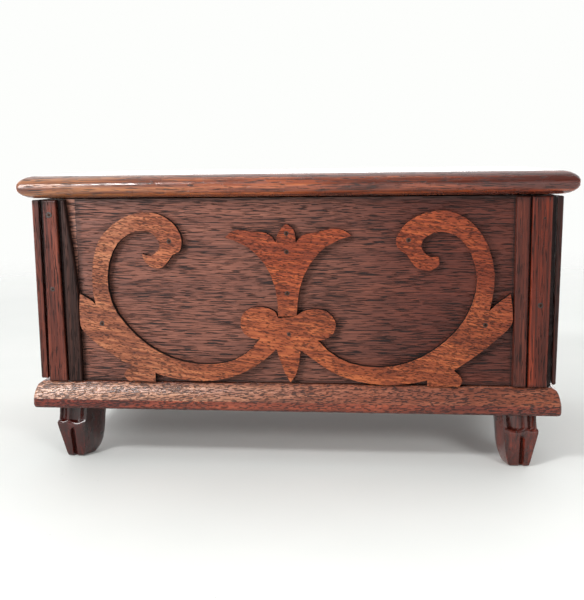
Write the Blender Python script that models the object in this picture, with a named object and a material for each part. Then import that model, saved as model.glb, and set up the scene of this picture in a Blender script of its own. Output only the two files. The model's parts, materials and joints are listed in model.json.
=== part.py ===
"""Cylinder music box: a mahogany case on four carved feet, a hinged lid, and the comb-and-cylinder
movement it holds. Lengths are written in millimetres and turned into metres when a mesh is made.
The origin is on the floor under the middle of the box, +X runs along the front, +Z is up, and the
front with the fretwork faces -Y."""

import math

import bmesh
import bpy
from mathutils import Vector
from mathutils.geometry import tessellate_polygon

MM = 0.001
GAP = 0.3  # clearance between neighbouring pieces
DATUM_HEIGHT = 1.4  # heights below are measured from a plane this far above the floor

# case, from the datum up
FOOT_HEIGHT = 28.0
BASE_TOP = 42.0
CASE_TOP = 139.0
LID_BOTTOM = 139.6
LID_TOP = 151.2
LID_HALF_LENGTH = 142.0
LID_FRONT = -85.0
BASE_HALF_LENGTH = 138.2
BASE_OFFSET = -1.5  # the base board sits a little to the left
BASE_FRONT = -81.8
BASE_BACK = 83.0
STRIP_FRONT = -79.0
PANEL_FRONT = -75.4
PANEL_THICKNESS = 8.0
PANEL_HALF_LENGTH = 131.7
CASE_BACK = 80.2
LEFT_STRIP_PLANES = (136.0, 136.0)  # outer faces of the side strips at the bottom and at the top
RIGHT_STRIP_PLANES = (134.0, 135.1)
INNER_FRONT = PANEL_FRONT + PANEL_THICKNESS
INNER_BACK = CASE_BACK - PANEL_THICKNESS
INNER_SIDE = 123.9
LID_NOSE = 9.0  # how far the rounded nose of the lid reaches in
BASE_BEVEL_RUN = 4.8
BASE_BEVEL_DROP = 9.0
BASE_BEVEL_BELLY = (1.27, 5.07)  # control point of the front bevel's slight curve, from its lower edge
BASE_END_RUN = 4.4
BASE_END_DROP = 11.0

# lid hinges: the pins stand behind the back panel
HINGE_Y = 82.7
HINGE_Z = 137.75
HINGE_CENTRES = (-80.0, 80.0)
HINGE_HALF_LENGTH = 16.0
KNUCKLE_RADIUS = 2.3
HINGE_BORE = 1.15
HINGE_PIN_RADIUS = 1.0
LEAF_THICKNESS = 1.1

# partitions and glass
PARTITION_INNER = 98.0
PARTITION_THICKNESS = 4.0
PARTITION_TOP = 124.0
GLASS_FRAME_TOP = 129.5
GLASS_FRAME_WIDTH = 9.0

# movement: cylinder, spring barrel and winding arbor share one axis along X
AXIS_Y = 12.0
AXIS_Z = 97.0
BED_BOTTOM = 62.0
BED_TOP = 67.0
BED_LEFT = -92.0
BED_RIGHT = 95.0
BED_FRONT = -62.0
BED_BACK = 42.0
CYLINDER_LEFT = -36.0
CYLINDER_RIGHT = 60.0
CYLINDER_RADIUS = 22.0
PIN_REACH = 1.3  # from the cylinder's surface to the comb's tips
ARBOR_RADIUS = 3.0
PIVOT_RADIUS = 2.0
BORE_CLEARANCE = 0.12
BARREL_LEFT = -80.0
BARREL_RIGHT = -50.0
BARREL_RADIUS = 23.0
COMB_TEETH = 40

# train: great wheel, pinion with worm wheel, endless screw with fan
GREAT_TEETH = 60
PINION_TEETH = 10
GEAR_MODULE = 0.8
WORM_WHEEL_TEETH = 30
WORM_MODULE = 0.6
TRAIN_ANGLE = math.radians(211.0)  # from the cylinder's axis to the second arbor, in the YZ plane
TRAIN_DISTANCE = GEAR_MODULE * (GREAT_TEETH + PINION_TEETH) / 2
SECOND_Y = AXIS_Y + TRAIN_DISTANCE * math.cos(TRAIN_ANGLE)
SECOND_Z = AXIS_Z + TRAIN_DISTANCE * math.sin(TRAIN_ANGLE)
WORM_RADIUS = 3.4
WORM_X = 82.0
WORM_Y = SECOND_Y - WORM_MODULE * WORM_WHEEL_TEETH / 2 - WORM_RADIUS

# levers
LEVER_REST = math.radians(45.0)
LEVER_LENGTH = 32.0
CLICK_PIVOT = (25.5, 83.5)
STOP_PIVOT = (90.0, -50.0)

# base colours, roughness and metallic value of each material
LOOKS = {
    "dark_panel": ((0.115, 0.042, 0.034), 0.48, 0.0),
    "mahogany": ((0.19, 0.062, 0.036), 0.38, 0.0),
    "lid_mahogany": ((0.16, 0.045, 0.026), 0.26, 0.0),
    "fretwork": ((0.36, 0.115, 0.045), 0.42, 0.0),
    "foot_mahogany": ((0.11, 0.028, 0.02), 0.3, 0.0),
    "pine": ((0.42, 0.27, 0.15), 0.6, 0.0),
    "brass": ((0.72, 0.5, 0.19), 0.28, 1.0),
    "steel": ((0.5, 0.5, 0.52), 0.3, 1.0),
    "blued_steel": ((0.07, 0.09, 0.17), 0.32, 1.0),
    "cast_iron": ((0.09, 0.09, 0.1), 0.5, 0.7),
    "glass": ((0.86, 0.93, 0.91), 0.04, 0.0),
    "card": ((0.78, 0.7, 0.53), 0.8, 0.0),
}


def material_for(name, look):
    """One Principled material of the object's own, with the colour of its look."""
    colour, roughness, metallic = LOOKS[look]
    material = bpy.data.materials.new(name)
    material.use_nodes = True
    shader = material.node_tree.nodes["Principled BSDF"]
    shader.inputs["Base Color"].default_value = (*colour, 1.0)
    shader.inputs["Roughness"].default_value = roughness
    shader.inputs["Metallic"].default_value = metallic
    if look == "glass":
        shader.inputs["Alpha"].default_value = 0.3
    return material


def make_object(name, bm, look, pivot=(0.0, 0.0, 0.0), smooth=None):
    """Turn a bmesh in millimetres into a named object whose origin is at pivot."""
    bmesh.ops.remove_doubles(bm, verts=bm.verts, dist=0.001)
    bmesh.ops.recalc_face_normals(bm, faces=bm.faces)
    origin = Vector(pivot)
    for vertex in bm.verts:
        vertex.co = (vertex.co - origin) * MM
    mesh = bpy.data.meshes.new(name)
    bm.to_mesh(mesh)
    bm.free()
    if smooth is not None:
        mesh.shade_smooth()
        mesh.set_sharp_from_angle(angle=math.radians(smooth))
    item = bpy.data.objects.new(name, mesh)
    item.location = (origin + Vector((0.0, 0.0, DATUM_HEIGHT))) * MM
    mesh.materials.append(material_for(name, look))
    bpy.context.scene.collection.objects.link(item)
    return item


def at_axis(axis, along, first, second):
    """A point from its place along an axis and its two other coordinates in X, Y, Z order."""
    if axis == "x":
        return (along, first, second)
    if axis == "y":
        return (first, along, second)
    return (first, second, along)


def prism(outline, axis, low, high, holes=()):
    """A flat plate: an outline with holes, carried along an axis from low to high."""
    bm = bmesh.new()
    loops = [list(outline)] + [list(hole) for hole in holes]
    lower = [[bm.verts.new(at_axis(axis, low, *point)) for point in loop] for loop in loops]
    upper = [[bm.verts.new(at_axis(axis, high, *point)) for point in loop] for loop in loops]
    flat = tessellate_polygon([[Vector((*point, 0.0)) for point in loop] for loop in loops])
    for rim in (lower, upper):
        verts = [vert for loop in rim for vert in loop]
        for corners in flat:
            bm.faces.new([verts[index] for index in corners])
    for below, above in zip(lower, upper):
        for index in range(len(below)):
            after = (index + 1) % len(below)
            bm.faces.new((below[index], below[after], above[after], above[index]))
    return bm


def box(low, high):
    """A plain block between two corners."""
    outline = [(low[0], low[1]), (high[0], low[1]), (high[0], high[1]), (low[0], high[1])]
    return prism(outline, "z", low[2], high[2])


def soften(bm, radius, segments, chosen):
    """Round the edges that chosen() accepts, once each flat side is a single face."""
    bmesh.ops.remove_doubles(bm, verts=bm.verts, dist=0.001)
    bmesh.ops.recalc_face_normals(bm, faces=bm.faces)
    bmesh.ops.dissolve_limit(bm, angle_limit=0.01, verts=bm.verts, edges=bm.edges)
    edges = [edge for edge in bm.edges if chosen(edge)]
    bmesh.ops.bevel(
        bm,
        geom=edges,
        offset=radius,
        segments=segments,
        profile=0.5,
        affect="EDGES",
        clamp_overlap=True,
    )
    return bm


def turned(profile, axis, centre, segments=48):
    """Turn a profile of (radius, place along the axis) about an axis through centre.

    A profile that starts and ends on the axis makes a solid. Any other profile is a closed ring."""
    bm = bmesh.new()
    solid = profile[0][0] == 0.0 and profile[-1][0] == 0.0
    rows = []
    for radius, along in profile:
        if radius == 0.0:
            rows.append([bm.verts.new(at_axis(axis, along, *centre))])
            continue
        row = []
        for step in range(segments):
            angle = 2 * math.pi * step / segments
            first = centre[0] + radius * math.cos(angle)
            second = centre[1] + radius * math.sin(angle)
            row.append(bm.verts.new(at_axis(axis, along, first, second)))
        rows.append(row)
    pairs = list(zip(rows, rows[1:]))
    if not solid:
        pairs.append((rows[-1], rows[0]))
    for start, end in pairs:
        for step in range(segments):
            after = (step + 1) % segments
            corners = [start[step % len(start)], start[after % len(start)]]
            corners += [end[after % len(end)], end[step % len(end)]]
            corners = list(dict.fromkeys(corners))
            if len(corners) > 2:
                bm.faces.new(corners)
    return bm


def circle(radius, centre=(0.0, 0.0), segments=24):
    """Points round a circle."""
    angles = [2 * math.pi * step / segments for step in range(segments)]
    return [(centre[0] + radius * math.cos(a), centre[1] + radius * math.sin(a)) for a in angles]


def arc(radius, centre, start, end, segments):
    """Points along an arc, with both ends, in degrees."""
    points = []
    for step in range(segments + 1):
        angle = math.radians(start + (end - start) * step / segments)
        points.append((centre[0] + radius * math.cos(angle), centre[1] + radius * math.sin(angle)))
    return points


def add_boolean(item, cutter, operation):
    """Cut or join with another object, which then stays as a hidden guide."""
    cutter.hide_render = True
    cutter.display_type = "WIRE"
    modifier = item.modifiers.new(operation.lower(), "BOOLEAN")
    modifier.operation = operation
    modifier.solver = "EXACT"
    modifier.object = cutter


def smooth_run(points, bend=11.0, longest=7.0):
    """A smooth curve through a run of points, stepped finely only where it bends."""
    fine = []
    last = len(points) - 1
    for index in range(last):
        p1 = Vector(points[index])
        p2 = Vector(points[index + 1])
        p0 = Vector(points[index - 1]) if index > 0 else p1 * 2 - p2
        p3 = Vector(points[index + 2]) if index + 2 <= last else p2 * 2 - p1
        span = (p2 - p1).length
        before = span * (p2 - p0) / max((p1 - p0).length + span, 1e-6)
        after = span * (p3 - p1) / max((p3 - p2).length + span, 1e-6)
        for step in range(16):
            t = step / 16
            a = 2 * t**3 - 3 * t**2 + 1
            b = t**3 - 2 * t**2 + t
            c = -2 * t**3 + 3 * t**2
            d = t**3 - t**2
            fine.append(p1 * a + before * b + p2 * c + after * d)
    fine.append(Vector(points[-1]))
    kept = [fine[0]]
    turned_by = 0.0
    for index in range(1, len(fine) - 1):
        turned_by += abs((fine[index] - fine[index - 1]).angle(fine[index + 1] - fine[index], 0.0))
        if turned_by > math.radians(bend) or (fine[index] - kept[-1]).length > longest:
            kept.append(fine[index])
            turned_by = 0.0
    return [(point.x, point.y) for point in kept]


def outline_of(runs):
    """Join smooth runs into one closed outline. Each run starts at a corner and ends at the next."""
    points = []
    for index, run in enumerate(runs):
        following = runs[(index + 1) % len(runs)][0]
        points += smooth_run(list(run) + [following])
    return points


# ---------------------------------------------------------------- case


def moulded_board(profile, half_length, front, back, corner, centre_x=0.0):
    """A board with an edge profile of (front inset, end inset, height), bottom to top.

    The back stays square, and the corners in plan are rounded by a small radius."""
    bm = bmesh.new()
    deepest = max(inset for inset, end_inset, height in profile)
    rows = []
    for inset, end_inset, height in profile:
        radius = corner * (1 - 0.8 * inset / deepest)
        left = -half_length + end_inset
        right = half_length - end_inset
        near = front + inset
        plan = [(left, back)]
        plan += arc(radius, (left + radius, near + radius), 180, 270, 4)
        plan += arc(radius, (right - radius, near + radius), 270, 360, 4)
        plan.append((right, back))
        rows.append([bm.verts.new((x + centre_x, y, height)) for x, y in plan])
    for below, above in zip(rows, rows[1:]):
        for index in range(len(below)):
            after = (index + 1) % len(below)
            bm.faces.new((below[index], below[after], above[after], above[index]))
    bm.faces.new(rows[0])
    bm.faces.new(rows[-1])
    return bm


def lid_profile():
    """A full round nose: half an ellipse from the underside to the top."""
    middle = (LID_BOTTOM + LID_TOP) / 2
    half = (LID_TOP - LID_BOTTOM) / 2
    steps = 12
    profile = []
    for step in range(steps + 1):
        angle = math.pi * (step / steps - 0.5)
        inset = LID_NOSE * (1 - math.cos(angle))
        profile.append((inset, inset, middle + half * math.sin(angle)))
    return profile


def base_end_inset(height):
    """How far an end of the base board has curved in at a height."""
    rise = max(0.0, height - (BASE_TOP - BASE_END_DROP)) / BASE_END_DROP
    return BASE_END_RUN * (1 - math.sqrt(max(0.0, 1 - rise * rise)))


def base_profile():
    """A rounded foot edge, an upright band, then a broad, slightly curved bevel up to the walls."""
    bottom = FOOT_HEIGHT
    arris = BASE_TOP - BASE_BEVEL_DROP
    profile = []
    for inset, rise in ((1.3, 0.0), (0.5, 0.35), (0.1, 1.2), (0.0, 2.2)):
        profile.append((inset, inset, bottom + rise))
    profile.append((0.0, base_end_inset(arris), arris))
    belly_run, belly_rise = BASE_BEVEL_BELLY
    for share in (0.04, 0.2, 0.4, 0.6, 0.8, 1.0):
        inset = 2 * share * (1 - share) * belly_run + share ** 2 * BASE_BEVEL_RUN
        rise = 2 * share * (1 - share) * belly_rise + share ** 2 * BASE_BEVEL_DROP
        profile.append((inset, base_end_inset(arris + rise), arris + rise))
    return profile


def build_boards():
    """The base board and the four walls of the case."""
    base = moulded_board(
        base_profile(), BASE_HALF_LENGTH, BASE_FRONT, BASE_BACK, 1.6, BASE_OFFSET
    )
    make_object("base_board", base, "mahogany", smooth=30)
    low = BASE_TOP + GAP
    high = CASE_TOP
    front = box((-PANEL_HALF_LENGTH, PANEL_FRONT, low), (PANEL_HALF_LENGTH, INNER_FRONT, high))
    make_object("front_panel", front, "dark_panel")
    end_outer = INNER_SIDE + PANEL_THICKNESS
    for side, sign in (("left", -1), ("right", 1)):
        xs = sorted((sign * INNER_SIDE, sign * end_outer))
        end = box((xs[0], INNER_FRONT + GAP, low), (xs[1], INNER_BACK - GAP, high))
        make_object(f"{side}_end_panel", end, "dark_panel")
    make_object("back_panel", prism(back_panel_outline(), "y", INNER_BACK, CASE_BACK), "dark_panel")


def back_panel_outline():
    """The back seen from behind, with a notch in its top edge for each hinge."""
    low = BASE_TOP + GAP
    notch_floor = HINGE_Z - LEAF_THICKNESS - 0.25 - GAP
    reach = HINGE_HALF_LENGTH + GAP
    points = [(-PANEL_HALF_LENGTH, low), (PANEL_HALF_LENGTH, low), (PANEL_HALF_LENGTH, CASE_TOP)]
    for centre in reversed(HINGE_CENTRES):
        points += [(centre + reach, CASE_TOP), (centre + reach, notch_floor)]
        points += [(centre - reach, notch_floor), (centre - reach, CASE_TOP)]
    points.append((-PANEL_HALF_LENGTH, CASE_TOP))
    return points


def upright_strip(name, outline, low, high, rounded, look="mahogany"):
    """A thin upright strip from its front outline. Edges on the rounded side are softened."""
    bm = prism(outline, "y", low, high)

    def is_face_edge(edge):
        return all(abs(vert.co.y - rounded) < 0.01 for vert in edge.verts)

    soften(bm, 0.9, 3, is_face_edge)
    make_object(name, bm, look, smooth=40)


def build_front_strips():
    """Two upright strips at each end of the front. The left inner one has split along its edge."""
    low = BASE_TOP + GAP
    high = CASE_TOP - 0.2
    back = PANEL_FRONT - GAP
    spans = {
        "left_outer_front_strip": ((-131.0, -121.0), (-129.4, -122.4)),
        "right_inner_front_strip": ((112.2, 119.0), (112.2, 119.0)),
        "right_outer_front_strip": ((119.8, 129.4), (119.8, 129.8)),
    }
    for name, (foot, head) in spans.items():
        outline = [(foot[0], low), (foot[1], low), (head[1], high), (head[0], high)]
        upright_strip(name, outline, STRIP_FRONT, back, STRIP_FRONT)
    split = [(-120.0, low), (-112.8, low), (-112.8, 90.0), (-114.6, 111.0)]
    split += [(-116.6, 127.0), (-117.7, high), (-120.0, high)]
    upright_strip("left_inner_front_strip", split, STRIP_FRONT, back, STRIP_FRONT)


def build_side_strips():
    """An upright strip at the front and the back corner of each end."""
    low = BASE_TOP + 1.6
    high = CASE_TOP - 0.2
    wall = INNER_SIDE + PANEL_THICKNESS + GAP
    for side, sign, planes in (("left", -1, LEFT_STRIP_PLANES), ("right", 1, RIGHT_STRIP_PLANES)):
        outline = [(wall, low), (planes[0], low), (planes[1], high), (wall, high)]
        for place, near, far in (("front", -77.5, -68.0), ("back", 70.7, CASE_BACK)):
            bm = prism([(sign * x, z) for x, z in outline], "y", near, far)

            def is_outer_edge(edge):
                return all(abs(vert.co.x) > wall + 1.0 for vert in edge.verts)

            soften(bm, 0.9, 3, is_outer_edge)
            make_object(f"{side}_{place}_side_strip", bm, "mahogany", smooth=40)


# ---------------------------------------------------------------- feet

KNEE_X = 127.6  # the knees' outer faces, left and right of the feet's middle
FEET_OFFSET = -1.2
KNEE_Y_FRONT = -76.4
KNEE_Y_BACK = 77.4
LEFT_FACE_TRIM = 1.3  # the left feet are a little narrower than the right ones
RIGHT_FACE_TRIM = -0.6

# height: (outer face inset from the knee, inner edge of the face, inner side), all from the knee
FOOT_LEVELS = (
    (-1.4, 4.5, 12.8, 15.4),
    (-0.8, 3.8, 13.6, 16.5),
    (1.4, 3.2, 14.3, 17.8),
    (5.0, 2.5, 15.2, 19.0),
    (9.5, 1.6, 15.9, 19.7),
    (14.0, 0.7, 16.4, 20.1),
    (17.4, 0.1, 16.6, 20.3),
    (18.6, 0.0, 16.7, 20.4),
    (19.5, 0.3, 16.9, 20.5),
    (19.9, 0.7, 17.0, 20.6),
    (20.2, 0.9, 17.1, 20.6),
    (23.6, 1.2, 17.5, 21.0),
    (27.7, 1.3, 17.9, 21.5),
)
# from and to as shares of the face's width, depth, and the number of steps across
FLUTES = ((0.05, 0.27, 1.7, 4), (0.35, 0.90, 3.1, 6))
GROOVE = (6.6, 7.9, 9.2)  # both edges and the bottom of the groove, measured in from the knee
GROOVE_DEPTH = 2.1
LEDGE = 20.1
LEDGE_BAND = (17.0, 20.5)  # the rows that dip under each flute
LEDGE_DIP = 0.45  # how far they dip, as a share of the flute's depth
GROOVE_TOP = 17.0
GROOVE_OUTER_STEPS = 5
GROOVE_INNER_STEPS = 6


def fluted_face(outer, inner):
    """A foot's face above the ledge: two scooped flutes with a ridge between them."""
    points = [(outer, outer)]
    for start, end, depth, steps in FLUTES:
        for step in range(steps + 1):
            share = step / steps
            across = outer + (inner - outer) * (start + (end - start) * share)
            points.append((across, outer + depth * (1 - (2 * share - 1) ** 2)))
    points.append((inner, outer))
    return points


def grooved_face(height, outer, inner):
    """A foot's face below the ledge: plain, but for one upright V groove that starts under the knee."""
    depth = GROOVE_DEPTH if height < GROOVE_TOP else 0.0
    start, bottom, end = GROOVE
    points = []
    for step in range(GROOVE_OUTER_STEPS):
        points.append((outer + (start - outer) * step / GROOVE_OUTER_STEPS, outer))
    points += [(start, outer), (bottom, outer + depth), (end, outer)]
    for step in range(1, GROOVE_INNER_STEPS + 1):
        points.append((end + (inner - end) * step / GROOVE_INNER_STEPS, outer))
    return points


def ledge_dip(height, share):
    """How far the ledge drops below a flute, at a share of the face's width."""
    if not LEDGE_BAND[0] < height < LEDGE_BAND[1]:
        return 0.0
    for start, end, depth, steps in FLUTES:
        if start < share < end:
            across = (share - start) / (end - start)
            return LEDGE_DIP * depth * (1 - (2 * across - 1) ** 2)
    return 0.0


def foot_plan(height, outer, inner, side):
    """A foot's plan at one height: two carved outer faces and three plain inner ones."""
    front = fluted_face(outer, inner) if height > LEDGE else grooved_face(height, outer, inner)
    turn = [(depth, across) for across, depth in reversed(front[1:])]
    shoulder = outer + (side - outer) * 0.55
    return turn + front + [(side, shoulder), (side, side), (shoulder, side)]


def build_feet():
    """Four carved feet: fluted above a rounded ledge, tapered and grooved below it."""
    places = {
        "front_left_foot": (-1, 1, KNEE_Y_FRONT, LEFT_FACE_TRIM),
        "front_right_foot": (1, 1, KNEE_Y_FRONT, RIGHT_FACE_TRIM),
        "back_left_foot": (-1, -1, KNEE_Y_BACK, LEFT_FACE_TRIM),
        "back_right_foot": (1, -1, KNEE_Y_BACK, RIGHT_FACE_TRIM),
    }
    for name, (sign_x, sign_y, knee_y, trim) in places.items():
        bm = bmesh.new()
        rows = []
        for height, outer, inner, side in FOOT_LEVELS:
            plan = foot_plan(height, outer, inner - trim, side)
            row = []
            for inward_x, inward_y in plan:
                x = sign_x * (KNEE_X - inward_x) + FEET_OFFSET
                across = (max(inward_x, inward_y) - outer) / (inner - trim - outer)
                z = height - ledge_dip(height, across)
                row.append(bm.verts.new((x, knee_y + sign_y * inward_y, z)))
            rows.append(row)
        for below, above in zip(rows, rows[1:]):
            for index in range(len(below)):
                after = (index + 1) % len(below)
                bm.faces.new((below[index], below[after], above[after], above[index]))
        bm.faces.new(rows[0])
        bm.faces.new(rows[-1])
        make_object(name, bm, "foot_mahogany", smooth=28)


# ---------------------------------------------------------------- fretwork on the front
# Heights here are measured from the top of the base board. Each run is a curve between two corners.

LEFT_SCROLL_OUTER = (
    ((-8.0, 18.9), (-15.0, 12.7), (-22.5, 7.7), (-31.5, 3.9), (-40.5, 1.8), (-48.5, 1.3),
     (-56.0, 1.8), (-64.0, 2.9), (-69.5, 4.3)),
    ((-72.7, 5.5),),
    ((-72.7, 0.7), (-80.0, 0.8), (-86.8, 0.9), (-88.6, 2.3)),
    ((-89.8, 4.5), (-88.2, 6.8)),
    ((-85.2, 9.8), (-90.5, 11.8), (-96.0, 15.5), (-102.3, 20.0), (-108.6, 25.0), (-112.0, 30.0),
     (-112.4, 36.0), (-112.3, 44.0)),
    ((-111.8, 47.7), (-108.6, 45.9), (-105.0, 43.6)),
    ((-103.4, 41.5), (-104.5, 47.0), (-104.8, 54.0), (-103.8, 65.0), (-100.6, 75.0),
     (-95.9, 81.0), (-88.0, 86.8), (-78.6, 90.0), (-68.3, 89.1), (-60.5, 84.1), (-56.6, 77.0),
     (-57.3, 70.5)),
)
LEFT_SCROLL_INNER = (
    ((-61.4, 68.0), (-63.5, 65.0), (-67.0, 61.6), (-71.8, 61.4), (-76.0, 64.5)),
    ((-77.6, 68.8), (-73.2, 67.7), (-69.1, 70.3), (-68.2, 74.0), (-72.3, 79.5), (-80.5, 80.3),
     (-89.5, 75.0), (-94.8, 65.5), (-96.5, 54.0), (-94.8, 43.5), (-90.5, 35.0), (-80.0, 23.5),
     (-68.0, 15.5), (-56.0, 11.5), (-43.0, 10.4), (-32.0, 12.3), (-22.5, 17.7)),
    ((-16.5, 24.4), (-20.5, 24.4), (-25.0, 27.3), (-26.6, 32.3), (-24.8, 38.0), (-19.5, 40.9),
     (-13.5, 40.8), (-8.6, 38.6)),
)
RIGHT_SCROLL_INNER = (
    ((2.7, 36.6), (6.5, 39.1), (12.5, 40.1), (18.6, 38.6), (22.7, 33.2), (21.6, 27.6),
     (17.3, 24.3)),
    ((13.6, 23.7), (20.0, 17.3), (30.0, 11.9), (42.0, 9.9), (54.0, 10.9), (66.4, 15.4),
     (78.2, 23.6), (87.3, 34.1), (92.4, 46.0), (93.5, 56.0), (90.5, 68.5), (84.0, 76.7),
     (75.5, 79.5), (68.0, 76.8), (65.9, 71.8), (69.5, 67.3)),
    ((74.5, 67.0), (74.6, 62.6), (69.5, 59.8), (63.4, 61.6)),
)
RIGHT_SCROLL_OUTER = (
    ((58.6, 68.2), (54.0, 71.6), (53.6, 77.0), (59.1, 84.5), (69.0, 89.3), (80.0, 89.6),
     (90.5, 84.0), (98.0, 74.0), (101.9, 61.0), (102.0, 49.5)),
    ((100.0, 39.5), (102.5, 42.2), (106.5, 45.4)),
    ((110.3, 48.2), (111.3, 42.0), (111.2, 33.0), (104.5, 25.5), (95.5, 17.7), (88.0, 12.3)),
    ((82.9, 8.6), (86.0, 5.8), (87.2, 2.8)),
    ((85.7, 0.3), (76.0, 0.3)),
    ((69.5, 0.3),),
    ((69.5, 3.4), (61.0, 1.5), (48.0, 0.6), (34.0, 2.3), (20.5, 7.2), (11.0, 13.8)),
    ((4.5, 18.4), (3.8, 11.5), (2.2, 6.0)),
)
POINT_TIP = (((-0.9, 1.3), (-3.2, 5.2), (-5.6, 11.5)),)
TULIP = (
    ((-6.8, 35.9), (-7.3, 46.0), (-9.2, 54.5), (-13.5, 63.4), (-21.0, 71.2), (-28.5, 75.2)),
    ((-33.6, 77.0), (-30.5, 79.9), (-26.0, 80.9), (-20.0, 79.8), (-13.5, 79.5), (-9.5, 77.2)),
    ((-7.7, 74.3), (-6.3, 79.0), (-2.3, 83.5), (1.6, 80.8)),
    ((2.7, 74.5), (7.0, 78.4), (14.0, 79.6), (21.0, 81.3), (26.5, 80.6)),
    ((31.1, 77.7), (24.0, 75.3), (16.4, 70.9), (9.6, 62.9), (5.2, 53.5), (3.4, 44.0)),
    ((2.7, 36.7), (-2.0, 36.3)),
)
FRETWORK_FRONT = -78.9


def lifted(runs):
    """Raise runs from the top of the base board to their height over the floor."""
    return [[(x, z + BASE_TOP) for x, z in run] for run in runs]


def build_fretwork():
    """Two flat pieces cut with a fret saw: the double scroll, and the tulip that stands on it."""
    # round the piece from the left notch over the tip: down the left scroll's outside, back along
    # its inside, over both bulbs, and out and back along the right scroll
    bridge = (((-6.8, 35.2), (-2.0, 35.7)),)
    scroll = LEFT_SCROLL_OUTER + LEFT_SCROLL_INNER + bridge
    scroll += RIGHT_SCROLL_INNER + RIGHT_SCROLL_OUTER + POINT_TIP
    back = PANEL_FRONT - GAP
    for name, runs in (("scroll_fretwork", scroll), ("tulip_fretwork", TULIP)):
        outline = outline_of(lifted(runs))
        make_object(name, prism(outline, "y", FRETWORK_FRONT, back), "fretwork")


# ---------------------------------------------------------------- lid and hinges


def knuckle_spans(centre):
    """Five knuckles along a hinge: the case leaf has the odd ones, the lid leaf the even ones."""
    length = 2 * HINGE_HALF_LENGTH / 5
    spans = []
    for index in range(5):
        left = centre - HINGE_HALF_LENGTH + index * length
        spans.append((left + GAP / 2, left + length - GAP / 2))
    return spans


def knuckle_outline(leaf_low, leaf_high):
    """A knuckle and its web seen along the pin: a round barrel with a flat tail to the leaf."""
    centre = (HINGE_Y, HINGE_Z)
    low = leaf_low - HINGE_Z
    high = leaf_high - HINGE_Z
    upper = 180 - math.degrees(math.asin(high / KNUCKLE_RADIUS))
    lower = 180 - math.degrees(math.asin(low / KNUCKLE_RADIUS))
    points = arc(KNUCKLE_RADIUS, centre, lower - 360, upper, 16)
    return points + [(CASE_BACK - 2.0, leaf_high), (CASE_BACK - 2.0, leaf_low)]


def build_leaf(name, centre, leaf_low, leaf_high, knuckles, pivot):
    """A brass leaf with its knuckles, each knuckle joined to the flat plate."""
    plate = box(
        (centre - HINGE_HALF_LENGTH, INNER_BACK + 0.5, leaf_low),
        (centre + HINGE_HALF_LENGTH, CASE_BACK - 0.1, leaf_high),
    )
    leaf = make_object(name, plate, "brass", pivot)
    bore = circle(HINGE_BORE, (HINGE_Y, HINGE_Z), 16)
    for index, (left, right) in enumerate(knuckles):
        knuckle = prism(knuckle_outline(leaf_low, leaf_high), "x", left, right, [bore])
        guide = make_object(f"{name}_knuckle_{index}", knuckle, "brass", pivot)
        add_boolean(leaf, guide, "UNION")


def build_hinges():
    """Two butt hinges let into the top of the back, with their pins standing behind it."""
    for side, centre in zip(("left", "right"), HINGE_CENTRES):
        spans = knuckle_spans(centre)
        pivot = (centre, HINGE_Y, HINGE_Z)
        case_low = HINGE_Z - 0.25 - LEAF_THICKNESS
        build_leaf(f"{side}_hinge_case_leaf", centre, case_low, HINGE_Z - 0.25, spans[::2], pivot)
        lid_low = HINGE_Z + 0.25
        lid_high = LID_BOTTOM - GAP
        build_leaf(f"{side}_hinge_lid_leaf", centre, lid_low, lid_high, spans[1::2], pivot)
        reach = HINGE_HALF_LENGTH
        head = 1.8
        profile = [(0.0, centre - reach - 0.6), (head, centre - reach - 0.6)]
        profile += [(head, centre - reach), (HINGE_PIN_RADIUS, centre - reach)]
        profile += [(HINGE_PIN_RADIUS, centre + reach), (head, centre + reach)]
        profile += [(head, centre + reach + 0.6), (0.0, centre + reach + 0.6)]
        pin = turned(profile, "x", (HINGE_Y, HINGE_Z), 16)
        make_object(f"{side}_hinge_pin", pin, "brass", smooth=40)


def build_lid():
    """The lid board with its round nose, and the card under it."""
    pivot = (0.0, HINGE_Y, HINGE_Z)
    board = moulded_board(lid_profile(), LID_HALF_LENGTH, LID_FRONT, CASE_BACK, 3.0)
    make_object("lid_board", board, "lid_mahogany", pivot, smooth=30)
    card = box((-62.0, -45.0, LID_BOTTOM - GAP - 0.5), (62.0, 40.0, LID_BOTTOM - GAP))
    make_object("tune_card", card, "card", pivot)


# ---------------------------------------------------------------- inside the case


def build_partitions():
    """Two thin walls across the case. The left one is notched for the winding arbor."""
    low = BASE_TOP + GAP
    near = INNER_FRONT + GAP
    far = INNER_BACK - GAP
    outer = PARTITION_INNER + PARTITION_THICKNESS
    notch = 6.5
    left = [(near, low), (far, low), (far, PARTITION_TOP), (AXIS_Y + notch, PARTITION_TOP)]
    left += [(AXIS_Y + notch, AXIS_Z - notch), (AXIS_Y - notch, AXIS_Z - notch)]
    left += [(AXIS_Y - notch, PARTITION_TOP), (near, PARTITION_TOP)]
    make_object("left_partition", prism(left, "x", -outer, -PARTITION_INNER), "pine")
    right = [(near, low), (far, low), (far, PARTITION_TOP), (near, PARTITION_TOP)]
    window = [(-62.0, 68.0), (-38.0, 68.0), (-38.0, 78.0), (-62.0, 78.0)]
    make_object("right_partition", prism(right, "x", PARTITION_INNER, outer, [window]), "pine")


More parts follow.
